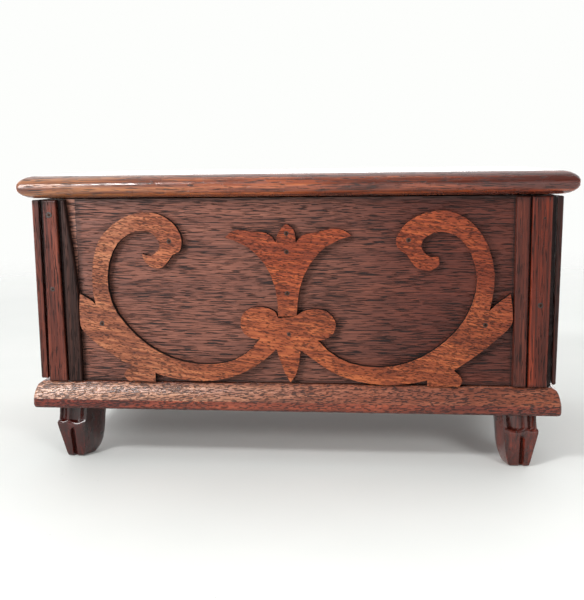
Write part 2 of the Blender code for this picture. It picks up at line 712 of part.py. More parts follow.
def build_glass():
    """A glazed frame that lies on the partitions and keeps dust off the movement."""
    half = PARTITION_INNER + PARTITION_THICKNESS
    near = INNER_FRONT + GAP
    far = INNER_BACK - GAP
    low = PARTITION_TOP + GAP
    outline = [(-half, near), (half, near), (half, far), (-half, far)]
    inner = half - GLASS_FRAME_WIDTH
    front = near + GLASS_FRAME_WIDTH
    back = far - GLASS_FRAME_WIDTH
    window = [(-inner, front), (inner, front), (inner, back), (-inner, back)]
    frame = prism(outline, "z", low, GLASS_FRAME_TOP, [window])
    make_object("glass_frame", frame, "mahogany")
    pane_low = low + 1.5
    pane = box((-inner + GAP, front + GAP, pane_low), (inner - GAP, back - GAP, pane_low + 2.0))
    make_object("glass_pane", pane, "glass")


def build_bed():
    """The iron bedplate and the two wooden rails that carry it."""
    for name, near, far in (("front_bed_rail", -60.0, -48.0), ("back_bed_rail", 28.0, 40.0)):
        rail = box(
            (-PARTITION_INNER + GAP, near, BASE_TOP + GAP),
            (PARTITION_INNER - GAP, far, BED_BOTTOM - GAP),
        )
        make_object(name, rail, "pine")
    bed = box((BED_LEFT, BED_FRONT, BED_BOTTOM), (BED_RIGHT, BED_BACK, BED_TOP))
    soften(bed, 1.0, 1, lambda edge: all(vert.co.z > BED_TOP - 0.01 for vert in edge.verts))
    make_object("bedplate", bed, "cast_iron")


def bracket_outline(foot_near, foot_far, width):
    """A bearing bracket seen along the axis: a broad foot that narrows to a round head."""
    low = BED_TOP + GAP
    foot = low + 6.0
    head = width / 2
    points = [(foot_near, low), (foot_far, low), (foot_far, foot)]
    points += arc(head, (AXIS_Y, AXIS_Z), 0, 180, 12)
    points.append((foot_near, foot))
    return points


def build_brackets():
    """Three brass brackets on the bed carry the winding arbor and the cylinder."""
    low = BED_TOP + GAP
    click_y, click_z = CLICK_PIVOT
    left = [(-4.0, low), (click_y + 7.0, low)]
    left += arc(5.0, (click_y + 2.0, click_z), 0, 70, 4)
    left += arc(8.5, (AXIS_Y, AXIS_Z), 0, 180, 12)
    left += [(-4.0, low + 6.0)]
    bore = circle(ARBOR_RADIUS + GAP, (AXIS_Y, AXIS_Z))
    make_object("left_bracket", prism(left, "x", -88.0, -84.0, [bore]), "brass")
    bore = circle(PIVOT_RADIUS + BORE_CLEARANCE, (AXIS_Y, AXIS_Z))
    middle = bracket_outline(-6.0, 30.0, 15.0)
    make_object("middle_bracket", prism(middle, "x", -46.0, -42.0, [bore]), "brass")
    right = bracket_outline(-1.0, 30.0, 15.0)
    make_object("right_bracket", prism(right, "x", 72.0, 76.0, [bore]), "brass")


def build_winding_fixed():
    """The winding arbor with its ratchet wheel, and the mainspring on it."""
    left = -113.0
    core = 6.5
    profile = [(0.0, left), (ARBOR_RADIUS - 0.5, left), (ARBOR_RADIUS, left + 0.5)]
    profile += [(ARBOR_RADIUS, BARREL_LEFT + 2.6), (core, BARREL_LEFT + 2.6)]
    profile += [(core, BARREL_RIGHT - 4.0), (ARBOR_RADIUS, BARREL_RIGHT - 4.0)]
    profile += [(ARBOR_RADIUS, BARREL_RIGHT - 2.8), (0.0, BARREL_RIGHT - 2.8)]
    arbor = turned(profile, "x", (AXIS_Y, AXIS_Z), 24)
    make_object("barrel_arbor", arbor, "steel", (0.0, AXIS_Y, AXIS_Z), smooth=40)
    bore = circle(ARBOR_RADIUS + GAP, (AXIS_Y, AXIS_Z))
    ratchet = prism(ratchet_outline(), "x", -94.5, -92.0, [bore])
    make_object("ratchet_wheel", ratchet, "steel", (0.0, AXIS_Y, AXIS_Z))
    spring = prism(spiral_outline(), "x", BARREL_LEFT + 3.4, BARREL_RIGHT - 3.4)
    make_object("mainspring", spring, "blued_steel", (0.0, AXIS_Y, AXIS_Z), smooth=50)


RATCHET_TEETH = 18
RATCHET_RADIUS = 12.0
RATCHET_DEPTH = 2.0


def ratchet_outline():
    """Saw teeth: each has one steep face that the click holds, and one long slope."""
    points = []
    pitch = 2 * math.pi / RATCHET_TEETH
    for tooth in range(RATCHET_TEETH):
        start = tooth * pitch
        for angle, radius in ((start, RATCHET_RADIUS - RATCHET_DEPTH), (start + 0.04, RATCHET_RADIUS)):
            points.append((AXIS_Y + radius * math.cos(angle), AXIS_Z + radius * math.sin(angle)))
    return points


def spiral_outline():
    """The coiled mainspring from the end: a thin strip wound out from the core to the barrel."""
    turns = 6
    steps = 16
    inner = 7.4
    outer = 20.3
    thickness = 0.9
    inside = []
    outside = []
    for step in range(turns * steps + 1):
        angle = 2 * math.pi * step / steps
        radius = inner + (outer - inner) * step / (turns * steps)
        for side, shift in ((inside, 0.0), (outside, thickness)):
            y = AXIS_Y + (radius + shift) * math.cos(angle)
            z = AXIS_Z + (radius + shift) * math.sin(angle)
            side.append((y, z))
    return inside + outside[::-1]


def build_comb():
    """The tuned steel comb on its brass base: long teeth for low notes, short for high ones."""
    left = CYLINDER_LEFT - 1.0
    right = CYLINDER_RIGHT + 1.0
    tips = AXIS_Y - CYLINDER_RADIUS - PIN_REACH
    front = -59.0
    slit = 0.6
    pitch = (right - left + slit) / COMB_TEETH
    outline = [(right, front), (right, tips)]
    for tooth in range(COMB_TEETH - 1):
        root = tips - 20.0 - 14.0 * (tooth / (COMB_TEETH - 1)) ** 1.3
        edge = right - pitch * (tooth + 1) + slit
        outline += [(edge, tips), (edge, root), (edge - slit, root), (edge - slit, tips)]
    outline += [(left, tips), (left, front)]
    low = AXIS_Z - 1.2
    make_object("comb", prism(outline, "z", low, AXIS_Z + 0.4), "steel")
    base = box((left + 1.0, -60.0, BED_TOP + GAP), (right - 1.0, -47.0, low - GAP))
    soften(base, 0.8, 1, lambda edge: all(vert.co.y < -59.9 for vert in edge.verts))
    make_object("comb_base", base, "brass")


# ---------------------------------------------------------------- cylinder and train


def gear_outline(teeth, module, centre, phase, sizes):
    """A spur gear from the end. sizes: root and tip in modules from the pitch line, and how much
    of the pitch the tooth takes at its root and at its tip."""
    root, tip, root_share, tip_share = sizes
    radius = teeth * module / 2
    pitch = 2 * math.pi / teeth
    corners = (
        (-root_share / 2, radius - root * module),
        (-tip_share / 2, radius + tip * module),
        (tip_share / 2, radius + tip * module),
        (root_share / 2, radius - root * module),
    )
    points = []
    for tooth in range(teeth):
        for share, distance in corners:
            angle = phase + pitch * (tooth + share)
            points.append(
                (centre[0] + distance * math.cos(angle), centre[1] + distance * math.sin(angle))
            )
    return points


def build_cylinder():
    """The cylinder with its caps and arbor, the great wheel, and the spring barrel beside it."""
    centre = (AXIS_Y, AXIS_Z)
    pivot = (0.0, AXIS_Y, AXIS_Z)
    wall = 1.4
    cap = 2.0
    tube = [(CYLINDER_RADIUS, CYLINDER_LEFT), (CYLINDER_RADIUS, CYLINDER_RIGHT)]
    tube += [(CYLINDER_RADIUS - wall, CYLINDER_RIGHT), (CYLINDER_RADIUS - wall, CYLINDER_LEFT)]
    make_object("cylinder_tube", turned(tube, "x", centre, 64), "brass", pivot, smooth=40)
    lefts = {
        "cylinder_left_cap": CYLINDER_LEFT - GAP - cap,
        "cylinder_right_cap": CYLINDER_RIGHT + GAP,
    }
    for name, left in lefts.items():
        bore = ARBOR_RADIUS + GAP
        rim = CYLINDER_RADIUS - 0.2
        disc = [(rim, left), (rim, left + cap), (bore, left + cap), (bore, left)]
        make_object(name, turned(disc, "x", centre, 48), "brass", pivot, smooth=40)
    arbor = [(0.0, BARREL_RIGHT + GAP), (PIVOT_RADIUS, BARREL_RIGHT + GAP)]
    arbor += [(PIVOT_RADIUS, -41.0), (ARBOR_RADIUS, -41.0), (ARBOR_RADIUS, 71.0)]
    arbor += [(PIVOT_RADIUS, 71.0), (PIVOT_RADIUS, 77.5), (0.0, 77.5)]
    make_object("cylinder_arbor", turned(arbor, "x", centre, 24), "steel", pivot, smooth=40)
    outline = gear_outline(GREAT_TEETH, GEAR_MODULE, centre, TRAIN_ANGLE, GREAT_SIZES)
    wheel = prism(outline, "x", 65.0, 68.0, [circle(ARBOR_RADIUS + GAP, centre)])
    make_object("great_wheel", wheel, "brass", pivot)
    inner = BARREL_RADIUS - 1.5
    cup = [(0.0, BARREL_RIGHT), (BARREL_RADIUS, BARREL_RIGHT), (BARREL_RADIUS, BARREL_LEFT)]
    cup += [(inner, BARREL_LEFT), (inner, BARREL_RIGHT - 2.0), (0.0, BARREL_RIGHT - 2.0)]
    make_object("spring_barrel", turned(cup, "x", centre, 48), "brass", pivot, smooth=40)
    bore = ARBOR_RADIUS + GAP
    rim = inner - GAP
    cover = [(rim, BARREL_LEFT + 0.2), (rim, BARREL_LEFT + 1.8)]
    cover += [(bore, BARREL_LEFT + 1.8), (bore, BARREL_LEFT + 0.2)]
    make_object("barrel_cover", turned(cover, "x", centre, 48), "brass", pivot, smooth=40)


GREAT_SIZES = (1.15, 0.75, 0.62, 0.2)
PINION_SIZES = (1.15, 0.7, 0.42, 0.2)
WORM_WHEEL_SIZES = (1.0, 0.7, 0.5, 0.18)


def build_second_arbor():
    """The pinion that the great wheel drives, on one arbor with the worm wheel."""
    centre = (SECOND_Y, SECOND_Z)
    pivot = (0.0, SECOND_Y, SECOND_Z)
    half_tooth = math.pi / PINION_TEETH
    phase = TRAIN_ANGLE + math.pi + half_tooth
    shape = gear_outline(PINION_TEETH, GEAR_MODULE, centre, phase, PINION_SIZES)
    pinion = prism(shape, "x", 64.2, 69.4, [circle(1.9, centre, 20)])
    make_object("pinion", pinion, "steel", pivot)
    profile = [(0.0, 63.0), (1.6, 63.0), (1.6, 71.0), (1.0, 71.0), (1.0, 76.5), (1.6, 76.5)]
    profile += [(1.6, 87.5), (1.0, 87.5), (1.0, 92.0), (0.0, 92.0)]
    arbor = turned(profile, "x", centre, 20)
    make_object("second_arbor", arbor, "steel", pivot, smooth=40)
    teeth = gear_outline(WORM_WHEEL_TEETH, WORM_MODULE, centre, math.pi, WORM_WHEEL_SIZES)
    wheel = prism(teeth, "x", WORM_X - 1.3, WORM_X + 1.3, [circle(1.9, centre, 20)])
    make_object("worm_wheel", wheel, "brass", pivot)


def build_endless_screw():
    """The upright endless screw, cut as one thread round its arbor, and the fan on top."""
    lead = math.pi * WORM_MODULE
    steps = 12
    rows_per_turn = 8
    low = SECOND_Z - 5.5
    high = SECOND_Z + 5.5
    crest = WORM_RADIUS + 0.7 * WORM_MODULE
    root = WORM_RADIUS - 1.05 * WORM_MODULE
    count = round((high - low) / lead * rows_per_turn)
    heights = [low + (high - low) * index / count for index in range(count + 1)]
    bm = bmesh.new()

    def ring(radius_of, height):
        row = []
        for step in range(steps):
            angle = 2 * math.pi * step / steps
            radius = radius_of(angle, height)
            x = WORM_X + radius * math.cos(angle)
            row.append(bm.verts.new((x, WORM_Y + radius * math.sin(angle), height)))
        return row

    def thread(angle, height):
        # a gap of the thread faces the wheel (+Y) at the height of the wheel's axis
        turn = ((height - SECOND_Z) / lead - (angle - math.pi / 2) / (2 * math.pi)) % 1.0
        off_crest = abs(turn - 0.5)
        share = min(1.0, max(0.0, (0.24 - off_crest) / 0.16))
        return root + (crest - root) * share

    def plain(radius):
        return lambda angle, height: radius

    rows = [ring(plain(0.8), 70.3), ring(plain(0.8), 71.5), ring(plain(1.6), 71.5)]
    rows += [ring(plain(1.6), low - 0.6), ring(plain(root), low - 0.6)]
    rows += [ring(thread, height) for height in heights]
    rows += [ring(plain(root), high + 0.6), ring(plain(1.3), high + 0.6)]
    rows += [ring(plain(1.3), 112.5), ring(plain(0.7), 112.5), ring(plain(0.7), 113.7)]
    for below, above in zip(rows, rows[1:]):
        for index in range(steps):
            after = (index + 1) % steps
            bm.faces.new((below[index], below[after], above[after], above[index]))
    bm.faces.new(rows[0])
    bm.faces.new(rows[-1])
    pivot = (WORM_X, WORM_Y, 0.0)
    make_object("endless_screw", bm, "steel", pivot, smooth=50)
    make_object("fan", prism(fan_outline(), "z", 98.0, 110.0, [circle(1.6, (WORM_X, WORM_Y), 16)]),
                "brass", pivot)


def fan_outline():
    """Two thin blades on a small hub, from above."""
    hub = 2.6
    reach = 11.0
    half = 0.4
    lean = math.degrees(math.asin(half / hub))
    points = arc(hub, (0.0, 0.0), lean, 180 - lean, 8) + [(-reach, half), (-reach, -half)]
    points += arc(hub, (0.0, 0.0), 180 + lean, 360 - lean, 8) + [(reach, -half), (reach, half)]
    return [(WORM_X + x, WORM_Y + y) for x, y in points]


def build_governor_frame():
    """The brass frame that holds the train: a base with two cheeks and a post, and a cock on top."""
    base = box((71.0, WORM_Y - 20.0, BED_TOP + GAP), (93.5, -2.0, 70.0))
    frame = make_object("governor_frame", base, "brass")
    half = 7.5
    bore = circle(1.0 + BORE_CLEARANCE, (SECOND_Y, SECOND_Z), 20)
    for side, left in (("left", 72.0), ("right", 88.5)):
        outline = [(SECOND_Y - half, 69.0), (SECOND_Y + half, 69.0)]
        outline += arc(5.0, (SECOND_Y, SECOND_Z + 1.0), 0, 180, 10)
        cheek = make_object(f"{side}_cheek", prism(outline, "x", left, left + 2.5, [bore]), "brass")
        add_boolean(frame, cheek, "UNION")
    post = box((78.0, WORM_Y - 19.5, 69.0), (83.0, WORM_Y - 14.5, 113.7))
    add_boolean(frame, make_object("governor_post", post, "brass"), "UNION")
    cock = [(78.0, WORM_Y - 20.0), (83.0, WORM_Y - 20.0)]
    cock += arc(3.4, (WORM_X, WORM_Y), -30, 210, 12)
    make_object("governor_cock", prism(cock, "z", 114.0, 116.2), "brass")


# ---------------------------------------------------------------- levers


def rounded_bar(start, end, start_radius, end_radius):
    """A flat bar between two round ends of their own radii."""
    run = Vector(end) - Vector(start)
    heading = math.degrees(math.atan2(run.y, run.x))
    tip = math.degrees(math.acos((start_radius - end_radius) / run.length))
    points = arc(start_radius, start, heading + tip, heading + 360 - tip, 16)
    return points + arc(end_radius, end, heading - tip, heading + tip, 8)


def build_winding_lever():
    """The winding lever in the left compartment, and the turned knob at its end."""
    pivot = (0.0, AXIS_Y, AXIS_Z)
    end = (AXIS_Y + LEVER_LENGTH * math.cos(LEVER_REST), AXIS_Z + LEVER_LENGTH * math.sin(LEVER_REST))
    outline = rounded_bar((AXIS_Y, AXIS_Z), end, 6.5, 3.6)
    arm = prism(outline, "x", -110.5, -106.0, [circle(ARBOR_RADIUS + GAP, (AXIS_Y, AXIS_Z))])
    make_object("winding_lever", arm, "brass", pivot)
    profile = [(0.0, -121.0), (2.6, -121.0), (3.9, -119.6), (4.2, -117.5), (3.2, -114.8)]
    profile += [(2.5, -112.8), (3.0, -110.8), (0.0, -110.8)]
    make_object("winding_knob", turned(profile, "x", end, 24), "mahogany", pivot, smooth=40)


def ratchet_point(radius, angle):
    """A point in the ratchet wheel's plane, by its distance and angle from the wheel's centre."""
    return (AXIS_Y + radius * math.cos(angle), AXIS_Z + radius * math.sin(angle))


def build_click():
    """The click: a small pawl on the left bracket whose nose rests in the ratchet wheel."""
    # the nose fills the corner between one tooth's steep face and the slope below it
    nose = [ratchet_point(12.6, -0.015), ratchet_point(10.45, -0.03), ratchet_point(12.9, -0.26)]
    outline = arc(3.6, CLICK_PIVOT, -167, 13, 8) + nose
    click = prism(outline, "x", -94.4, -92.1, [circle(1.5, CLICK_PIVOT, 16)])
    make_object("click", click, "steel", (0.0, *CLICK_PIVOT))


def build_stop_lever():
    """The start and stop lever: one arm through the right partition, one with a finger for the fan."""
    x, y = STOP_PIVOT
    pivot = (x, y, 0.0)
    bar = rounded_bar((x, y), (x + 26.0, y + 1.0), 4.5, 2.6)
    lever = prism(bar, "z", 71.0, 73.0, [circle(1.6, (x, y), 16)])
    lever = make_object("stop_lever", lever, "brass", pivot)
    finger_x = x + 4.5
    finger_y = y + 17.0
    arm = [(x + 2.3, y + 2.6), (x + 3.8, y + 1.6), (finger_x + 1.9, finger_y + 1.8)]
    arm += [(finger_x - 1.9, finger_y + 1.8)]
    arm = make_object("stop_arm", prism(arm, "z", 71.3, 72.7), "brass", pivot)
    low = (finger_x - 1.2, finger_y - 1.2, 72.1)
    high = (finger_x + 1.2, finger_y + 1.2, 103.0)
    finger = make_object("stop_finger", box(low, high), "brass", pivot)
    add_boolean(lever, arm, "UNION")
    add_boolean(lever, finger, "UNION")


def clear_scene():
    """Start from an empty scene."""
    for item in list(bpy.data.objects):
        bpy.data.objects.remove(item, do_unlink=True)


def build_all():
    """Every piece of the music box."""
    clear_scene()
    build_boards()
    build_front_strips()
    build_side_strips()
    build_feet()
    build_fretwork()
    build_hinges()
    build_lid()
    build_partitions()
    build_glass()
    build_bed()
    build_brackets()
    build_winding_fixed()
    build_comb()
    build_cylinder()
    build_second_arbor()
    build_endless_screw()
    build_governor_frame()
    build_winding_lever()
    build_click()
    build_stop_lever()


build_all()
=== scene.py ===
import json
import math
import random

import bmesh
import bpy
from mathutils import Matrix, Vector


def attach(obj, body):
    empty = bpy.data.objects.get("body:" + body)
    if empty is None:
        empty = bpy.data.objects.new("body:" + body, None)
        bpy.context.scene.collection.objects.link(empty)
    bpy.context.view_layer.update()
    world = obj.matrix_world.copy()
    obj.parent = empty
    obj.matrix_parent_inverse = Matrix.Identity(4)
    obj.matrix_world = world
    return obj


# A cylinder music box in a handmade mahogany case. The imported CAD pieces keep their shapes; here they
# get their wood, metal, glass and card, and the small things that sit on them: pins, screws and weights.

MM = 0.001
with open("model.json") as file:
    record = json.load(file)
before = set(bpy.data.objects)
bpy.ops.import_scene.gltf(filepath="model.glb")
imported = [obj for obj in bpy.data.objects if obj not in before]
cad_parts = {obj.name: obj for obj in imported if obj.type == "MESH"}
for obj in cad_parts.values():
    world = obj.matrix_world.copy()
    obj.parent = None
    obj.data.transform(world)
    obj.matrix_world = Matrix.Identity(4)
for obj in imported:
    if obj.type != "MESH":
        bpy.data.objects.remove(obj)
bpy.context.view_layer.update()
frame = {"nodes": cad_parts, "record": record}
nodes = frame["nodes"]


# ---------------------------------------------------------------- shader building

def tone(red, green, blue):
    """A colour given from 0 to 255 as people see it, as the linear colour that shaders take."""
    def linear(value):
        share = value / 255.0
        return share / 12.92 if share <= 0.04045 else ((share + 0.055) / 1.055) ** 2.4
    return (linear(red), linear(green), linear(blue), 1.0)


class Nodes:
    """A node tree, emptied. Most methods add a node and return the socket that carries its result."""

    def __init__(self, tree):
        self.tree = tree
        self.tree.nodes.clear()

    def add(self, kind, **settings):
        node = self.tree.nodes.new(kind)
        for key, value in settings.items():
            setattr(node, key, value)
        return node

    def put(self, value, socket):
        """Gives a socket either a link or a plain value."""
        if isinstance(value, bpy.types.NodeSocket):
            self.tree.links.new(value, socket)
        else:
            socket.default_value = value

    def split(self, vector):
        node = self.add("ShaderNodeSeparateXYZ")
        self.put(vector, node.inputs[0])
        return node.outputs

    def scaled(self, vector, scale, turn=(0.0, 0.0, 0.0)):
        """Turns a place by Euler angles, then scales it along each axis."""
        turned = self.add("ShaderNodeMapping")
        self.put(vector, turned.inputs["Vector"])
        turned.inputs["Rotation"].default_value = turn
        stretched = self.add("ShaderNodeMapping")
        self.put(turned.outputs[0], stretched.inputs["Vector"])
        stretched.inputs["Scale"].default_value = scale
        return stretched.outputs[0]

    def noise(self, vector, scale=1.0, detail=2.0, roughness=0.5, colour=False):
        node = self.add("ShaderNodeTexNoise")
        self.put(vector, node.inputs["Vector"])
        node.inputs["Scale"].default_value = scale
        node.inputs["Detail"].default_value = detail
        node.inputs["Roughness"].default_value = roughness
        return node.outputs[1 if colour else 0]

    def math(self, operation, first, second=0.0):
        node = self.add("ShaderNodeMath", operation=operation)
        self.put(first, node.inputs[0])
        self.put(second, node.inputs[1])
        return node.outputs[0]

    def range(self, value, low, high, out_low=0.0, out_high=1.0):
        """Spreads low..high over out_low..out_high with soft ends."""
        node = self.add("ShaderNodeMapRange", interpolation_type="SMOOTHSTEP")
        self.put(value, node.inputs["Value"])
        self.put(low, node.inputs["From Min"])
        self.put(high, node.inputs["From Max"])
        self.put(out_low, node.inputs["To Min"])
        self.put(out_high, node.inputs["To Max"])
        return node.outputs[0]

    def ramp(self, value, *stops):
        node = self.add("ShaderNodeValToRGB")
        self.put(value, node.inputs[0])
        marks = node.color_ramp.elements
        marks[0].position, marks[0].color = stops[0]
        marks[1].position, marks[1].color = stops[-1]
        for position, colour in stops[1:-1]:
            marks.new(position).color = colour
        return node.outputs[0]

    def mix(self, share, first, second, blend="MIX"):
        node = self.add("ShaderNodeMix", data_type="RGBA", blend_type=blend)
        self.put(share, node.inputs[0])
        self.put(first, node.inputs[6])
        self.put(second, node.inputs[7])
        return node.outputs[2]

    def moved(self, vector, push, reach):
        """Pushes a place about by a noise colour, up to reach metres each way."""
        centred = self.add("ShaderNodeVectorMath", operation="SUBTRACT")
        self.put(push, centred.inputs[0])
        centred.inputs[1].default_value = (0.5, 0.5, 0.5)
        sized = self.add("ShaderNodeVectorMath", operation="MULTIPLY")
        self.put(centred.outputs[0], sized.inputs[0])
        sized.inputs[1].default_value = reach
        total = self.add("ShaderNodeVectorMath", operation="ADD")
        self.put(vector, total.inputs[0])
        self.put(sized.outputs[0], total.inputs[1])
        return total.outputs[0]

    def bump(self, height, distance, strength=1.0, under=None):
        node = self.add("ShaderNodeBump")
        self.put(strength, node.inputs["Strength"])
        node.inputs["Distance"].default_value = distance
        self.put(height, node.inputs["Height"])
        if under is not None:
            self.put(under, node.inputs["Normal"])
        return node.outputs[0]


class Shader(Nodes):
    """One material: a principled surface and the nodes that feed it."""

    def __init__(self, name, **surface):
        self.material = bpy.data.materials.new(name)
        self.material.use_nodes = True
        super().__init__(self.material.node_tree)
        self.output = self.add("ShaderNodeOutputMaterial")
        self.surface = self.add("ShaderNodeBsdfPrincipled")
        self.put(self.surface.outputs[0], self.output.inputs["Surface"])
        for socket, value in surface.items():
            self.surface.inputs[socket.replace("_", " ").title().replace("Ior", "IOR")].default_value = value

    def place(self):
        """Where a point lies on the object, in metres."""
        return self.add("ShaderNodeTexCoord").outputs["Object"]

    def facing(self):
        """Which way the surface faces, in the object's own frame."""
        return self.add("ShaderNodeTexCoord").outputs["Normal"]

    def finish(self, colour=None, roughness=None, normal=None):
        for socket, value in (("Base Color", colour), ("Roughness", roughness), ("Normal", normal)):
            if value is not None:
                self.put(value, self.surface.inputs[socket])
        if normal is not None and self.surface.inputs["Coat Weight"].default_value > 0:
            self.put(normal, self.surface.inputs["Coat Normal"])
        return self.material


# ---------------------------------------------------------------- wood

# Places on the case that the wood's marks follow, in metres.
PANEL_FACE = -0.0753  # the front panel's front face
PANEL_BOTTOM = 0.0434
PANEL_TOP = 0.1406
SCRIBE_LEFT = -0.1131  # the scribed line down the panel near its left end
SCRIBE_RIGHT = 0.1116
BARE_WOOD = -0.1157  # the middle of the paler wood beside the split strip
BASE_ARRIS = 0.0345  # the line between the base's rubbed upper moulding and its upright band
BASE_BOTTOM = 0.0300
FOOT_TOP = 0.0292
GLASS_HALF_LENGTH = 0.102  # of the glass frame's outline
GLASS_HALF_WIDTH = 0.0695
GLASS_MIDDLE_Y = 0.0024

PORE_FILL = 0.55  # how much of a noise cell one pore takes up


def along(axis, with_grain, across):
    """A scale that stretches a pattern along one axis."""
    return tuple(with_grain if name == axis else across for name in "XYZ")


def grain(shader, axis, tilt, wander):
    """The place that wood patterns are drawn in: tilted, and wandering a little as real grain does."""
    place = shader.place()
    drift = shader.noise(shader.scaled(place, along(axis, 7.0, 22.0)), detail=1.0, colour=True)
    wavy = shader.moved(place, drift, tuple(0.0 if name == axis else wander for name in "XYZ"))
    return shader.scaled(wavy, (1.0, 1.0, 1.0), turn=tilt)


def wood(name, deep, middle, light, pore, axis="X", tilt=(0.0, 0.0, 0.0), wander=0.006,
         pore_length=0.0045, pore_width=0.00042, pore_share=0.41, streak=(11.0, 420.0),
         broad=(4.0, 70.0), contrast=0.16, relief=0.00022, dull=0.5, gleam=0.3, coat=0.2,
         coat_roughness=0.22, sheen=0.3, fibre=0.5, pore_depth=0.85, extra=None):
    """Mahogany: broad bands, long streaks, fine fibres and short dark pores under an old polish."""
    shader = Shader(name, coat_weight=coat, coat_roughness=coat_roughness, coat_ior=1.45, ior=1.45,
                    specular_ior_level=sheen)
    place = grain(shader, axis, tilt, wander)
    bands = shader.noise(shader.scaled(place, along(axis, *broad)), detail=2.0, roughness=0.6)
    streaks = shader.noise(shader.scaled(place, along(axis, *streak)), detail=4.0, roughness=0.62)
    fibres = shader.noise(shader.scaled(place, along(axis, 60.0, 2600.0)), detail=2.0)
    mixed = shader.math("ADD", shader.math("MULTIPLY", bands, 0.34), shader.math("MULTIPLY", streaks, 0.66))
    figure = shader.range(mixed, 0.5 - contrast, 0.5 + contrast)
    colour = shader.ramp(figure, (0.0, deep), (0.5, middle), (1.0, light))
    colour = shader.mix(shader.range(fibres, 0.3, 0.7, 0.0, fibre), colour, deep)

    pore_cells = along(axis, PORE_FILL / pore_length, PORE_FILL / pore_width)
    dashes = shader.noise(shader.scaled(place, pore_cells), detail=1.0)
    patches = shader.noise(shader.place(), scale=38.0, detail=2.0)
    share = shader.range(patches, 0.3, 0.7, pore_share - 0.03, pore_share + 0.03)
    pores = shader.range(dashes, share, shader.math("SUBTRACT", share, 0.07))
    colour = shader.mix(shader.math("MULTIPLY", pores, pore_depth), colour, pore)

    polish = shader.noise(shader.place(), scale=55.0, detail=3.0, roughness=0.6)
    rough = shader.range(polish, 0.3, 0.7, gleam, dull)
    rough = shader.math("MAXIMUM", rough, shader.math("MULTIPLY", pores, 0.75))
    height = shader.math("SUBTRACT", shader.math("MULTIPLY", streaks, 0.7), pores)
    height = shader.math("ADD", height, shader.math("MULTIPLY", fibres, 0.25))
    waves = shader.noise(shader.scaled(shader.place(), along(axis, 18.0, 60.0)), detail=1.0)
    level = shader.range(shader.split(shader.facing())[2], 0.75, 0.98, 1.0, 0.25)
    normal = shader.bump(waves, 0.0009, strength=level)
    normal = shader.bump(height, relief, strength=level, under=normal)
    if extra is not None:
        colour, rough = extra(shader, colour, rough)
    return shader.finish(colour, rough, normal)


def painted_light_along_x(shader, colour, left, right, start=-0.03, end=0.10):
    """Painted light and shade across the box, not a change in the wood: a tint for each end, blended along x.
    """
    x = shader.split(shader.place())[0]
    tint = shader.mix(shader.range(x, start, end), (*left, 1.0), (*right, 1.0))
    return tinted(shader, colour, tint)


def tinted(shader, colour, tint):
    return shader.mix(1.0, colour, tint, blend="MULTIPLY")


def ragged(shader, value, scale, detail, reach):
    """A measure with some noise added, up to reach metres from top to bottom, for uneven edges."""
    noise = shader.noise(shader.place(), scale=scale, detail=detail)
    return shader.math("ADD", value, shader.math("MULTIPLY", shader.math("SUBTRACT", noise, 0.5), reach))


def fretwork_painted_light(shader, colour, rough):
    """The fretwork's sawn sides are painted near black, as painted shade. Its upper half is painted duller on
    the left, as shade, and each end gets a tint of painted light and shade.
    """
    # Painted sheen at the left end and painted shade towards the right end.
    colour = painted_light_along_x(shader, colour, (0.80, 1.07, 1.32), (0.90, 0.86, 0.74), start=-0.09, end=0.0)
    colour = painted_light_along_x(shader, colour, (1.0, 1.0, 1.0), (0.70, 0.53, 0.44), start=0.075, end=0.12)
    x, _, z = shader.split(shader.place())
    # Painted shade: the upper part of the left fretwork is tinted darker.
    upper = shader.math("MULTIPLY", shader.range(z, 0.078, 0.104), shader.range(x, -0.10, -0.04))
    colour = shader.mix(upper, colour, tinted(shader, colour, (0.88, 0.70, 0.62, 1.0)))
    # The sawn side walls are painted near black: painted shade.
    away = shader.math("ABSOLUTE", shader.split(shader.facing())[1])
    side = shader.range(away, 0.75, 0.35)
    rough = shader.math("MAXIMUM", rough, shader.math("MULTIPLY", side, 0.6))
    return shader.mix(side, colour, tone(18, 10, 8)), rough


def band(shader, value, centre, half_width, soft):
    """1 within half_width of centre, falling to 0 over soft."""
    off = shader.math("ABSOLUTE", shader.math("SUBTRACT", value, centre))
    return shader.range(off, half_width + soft, half_width)


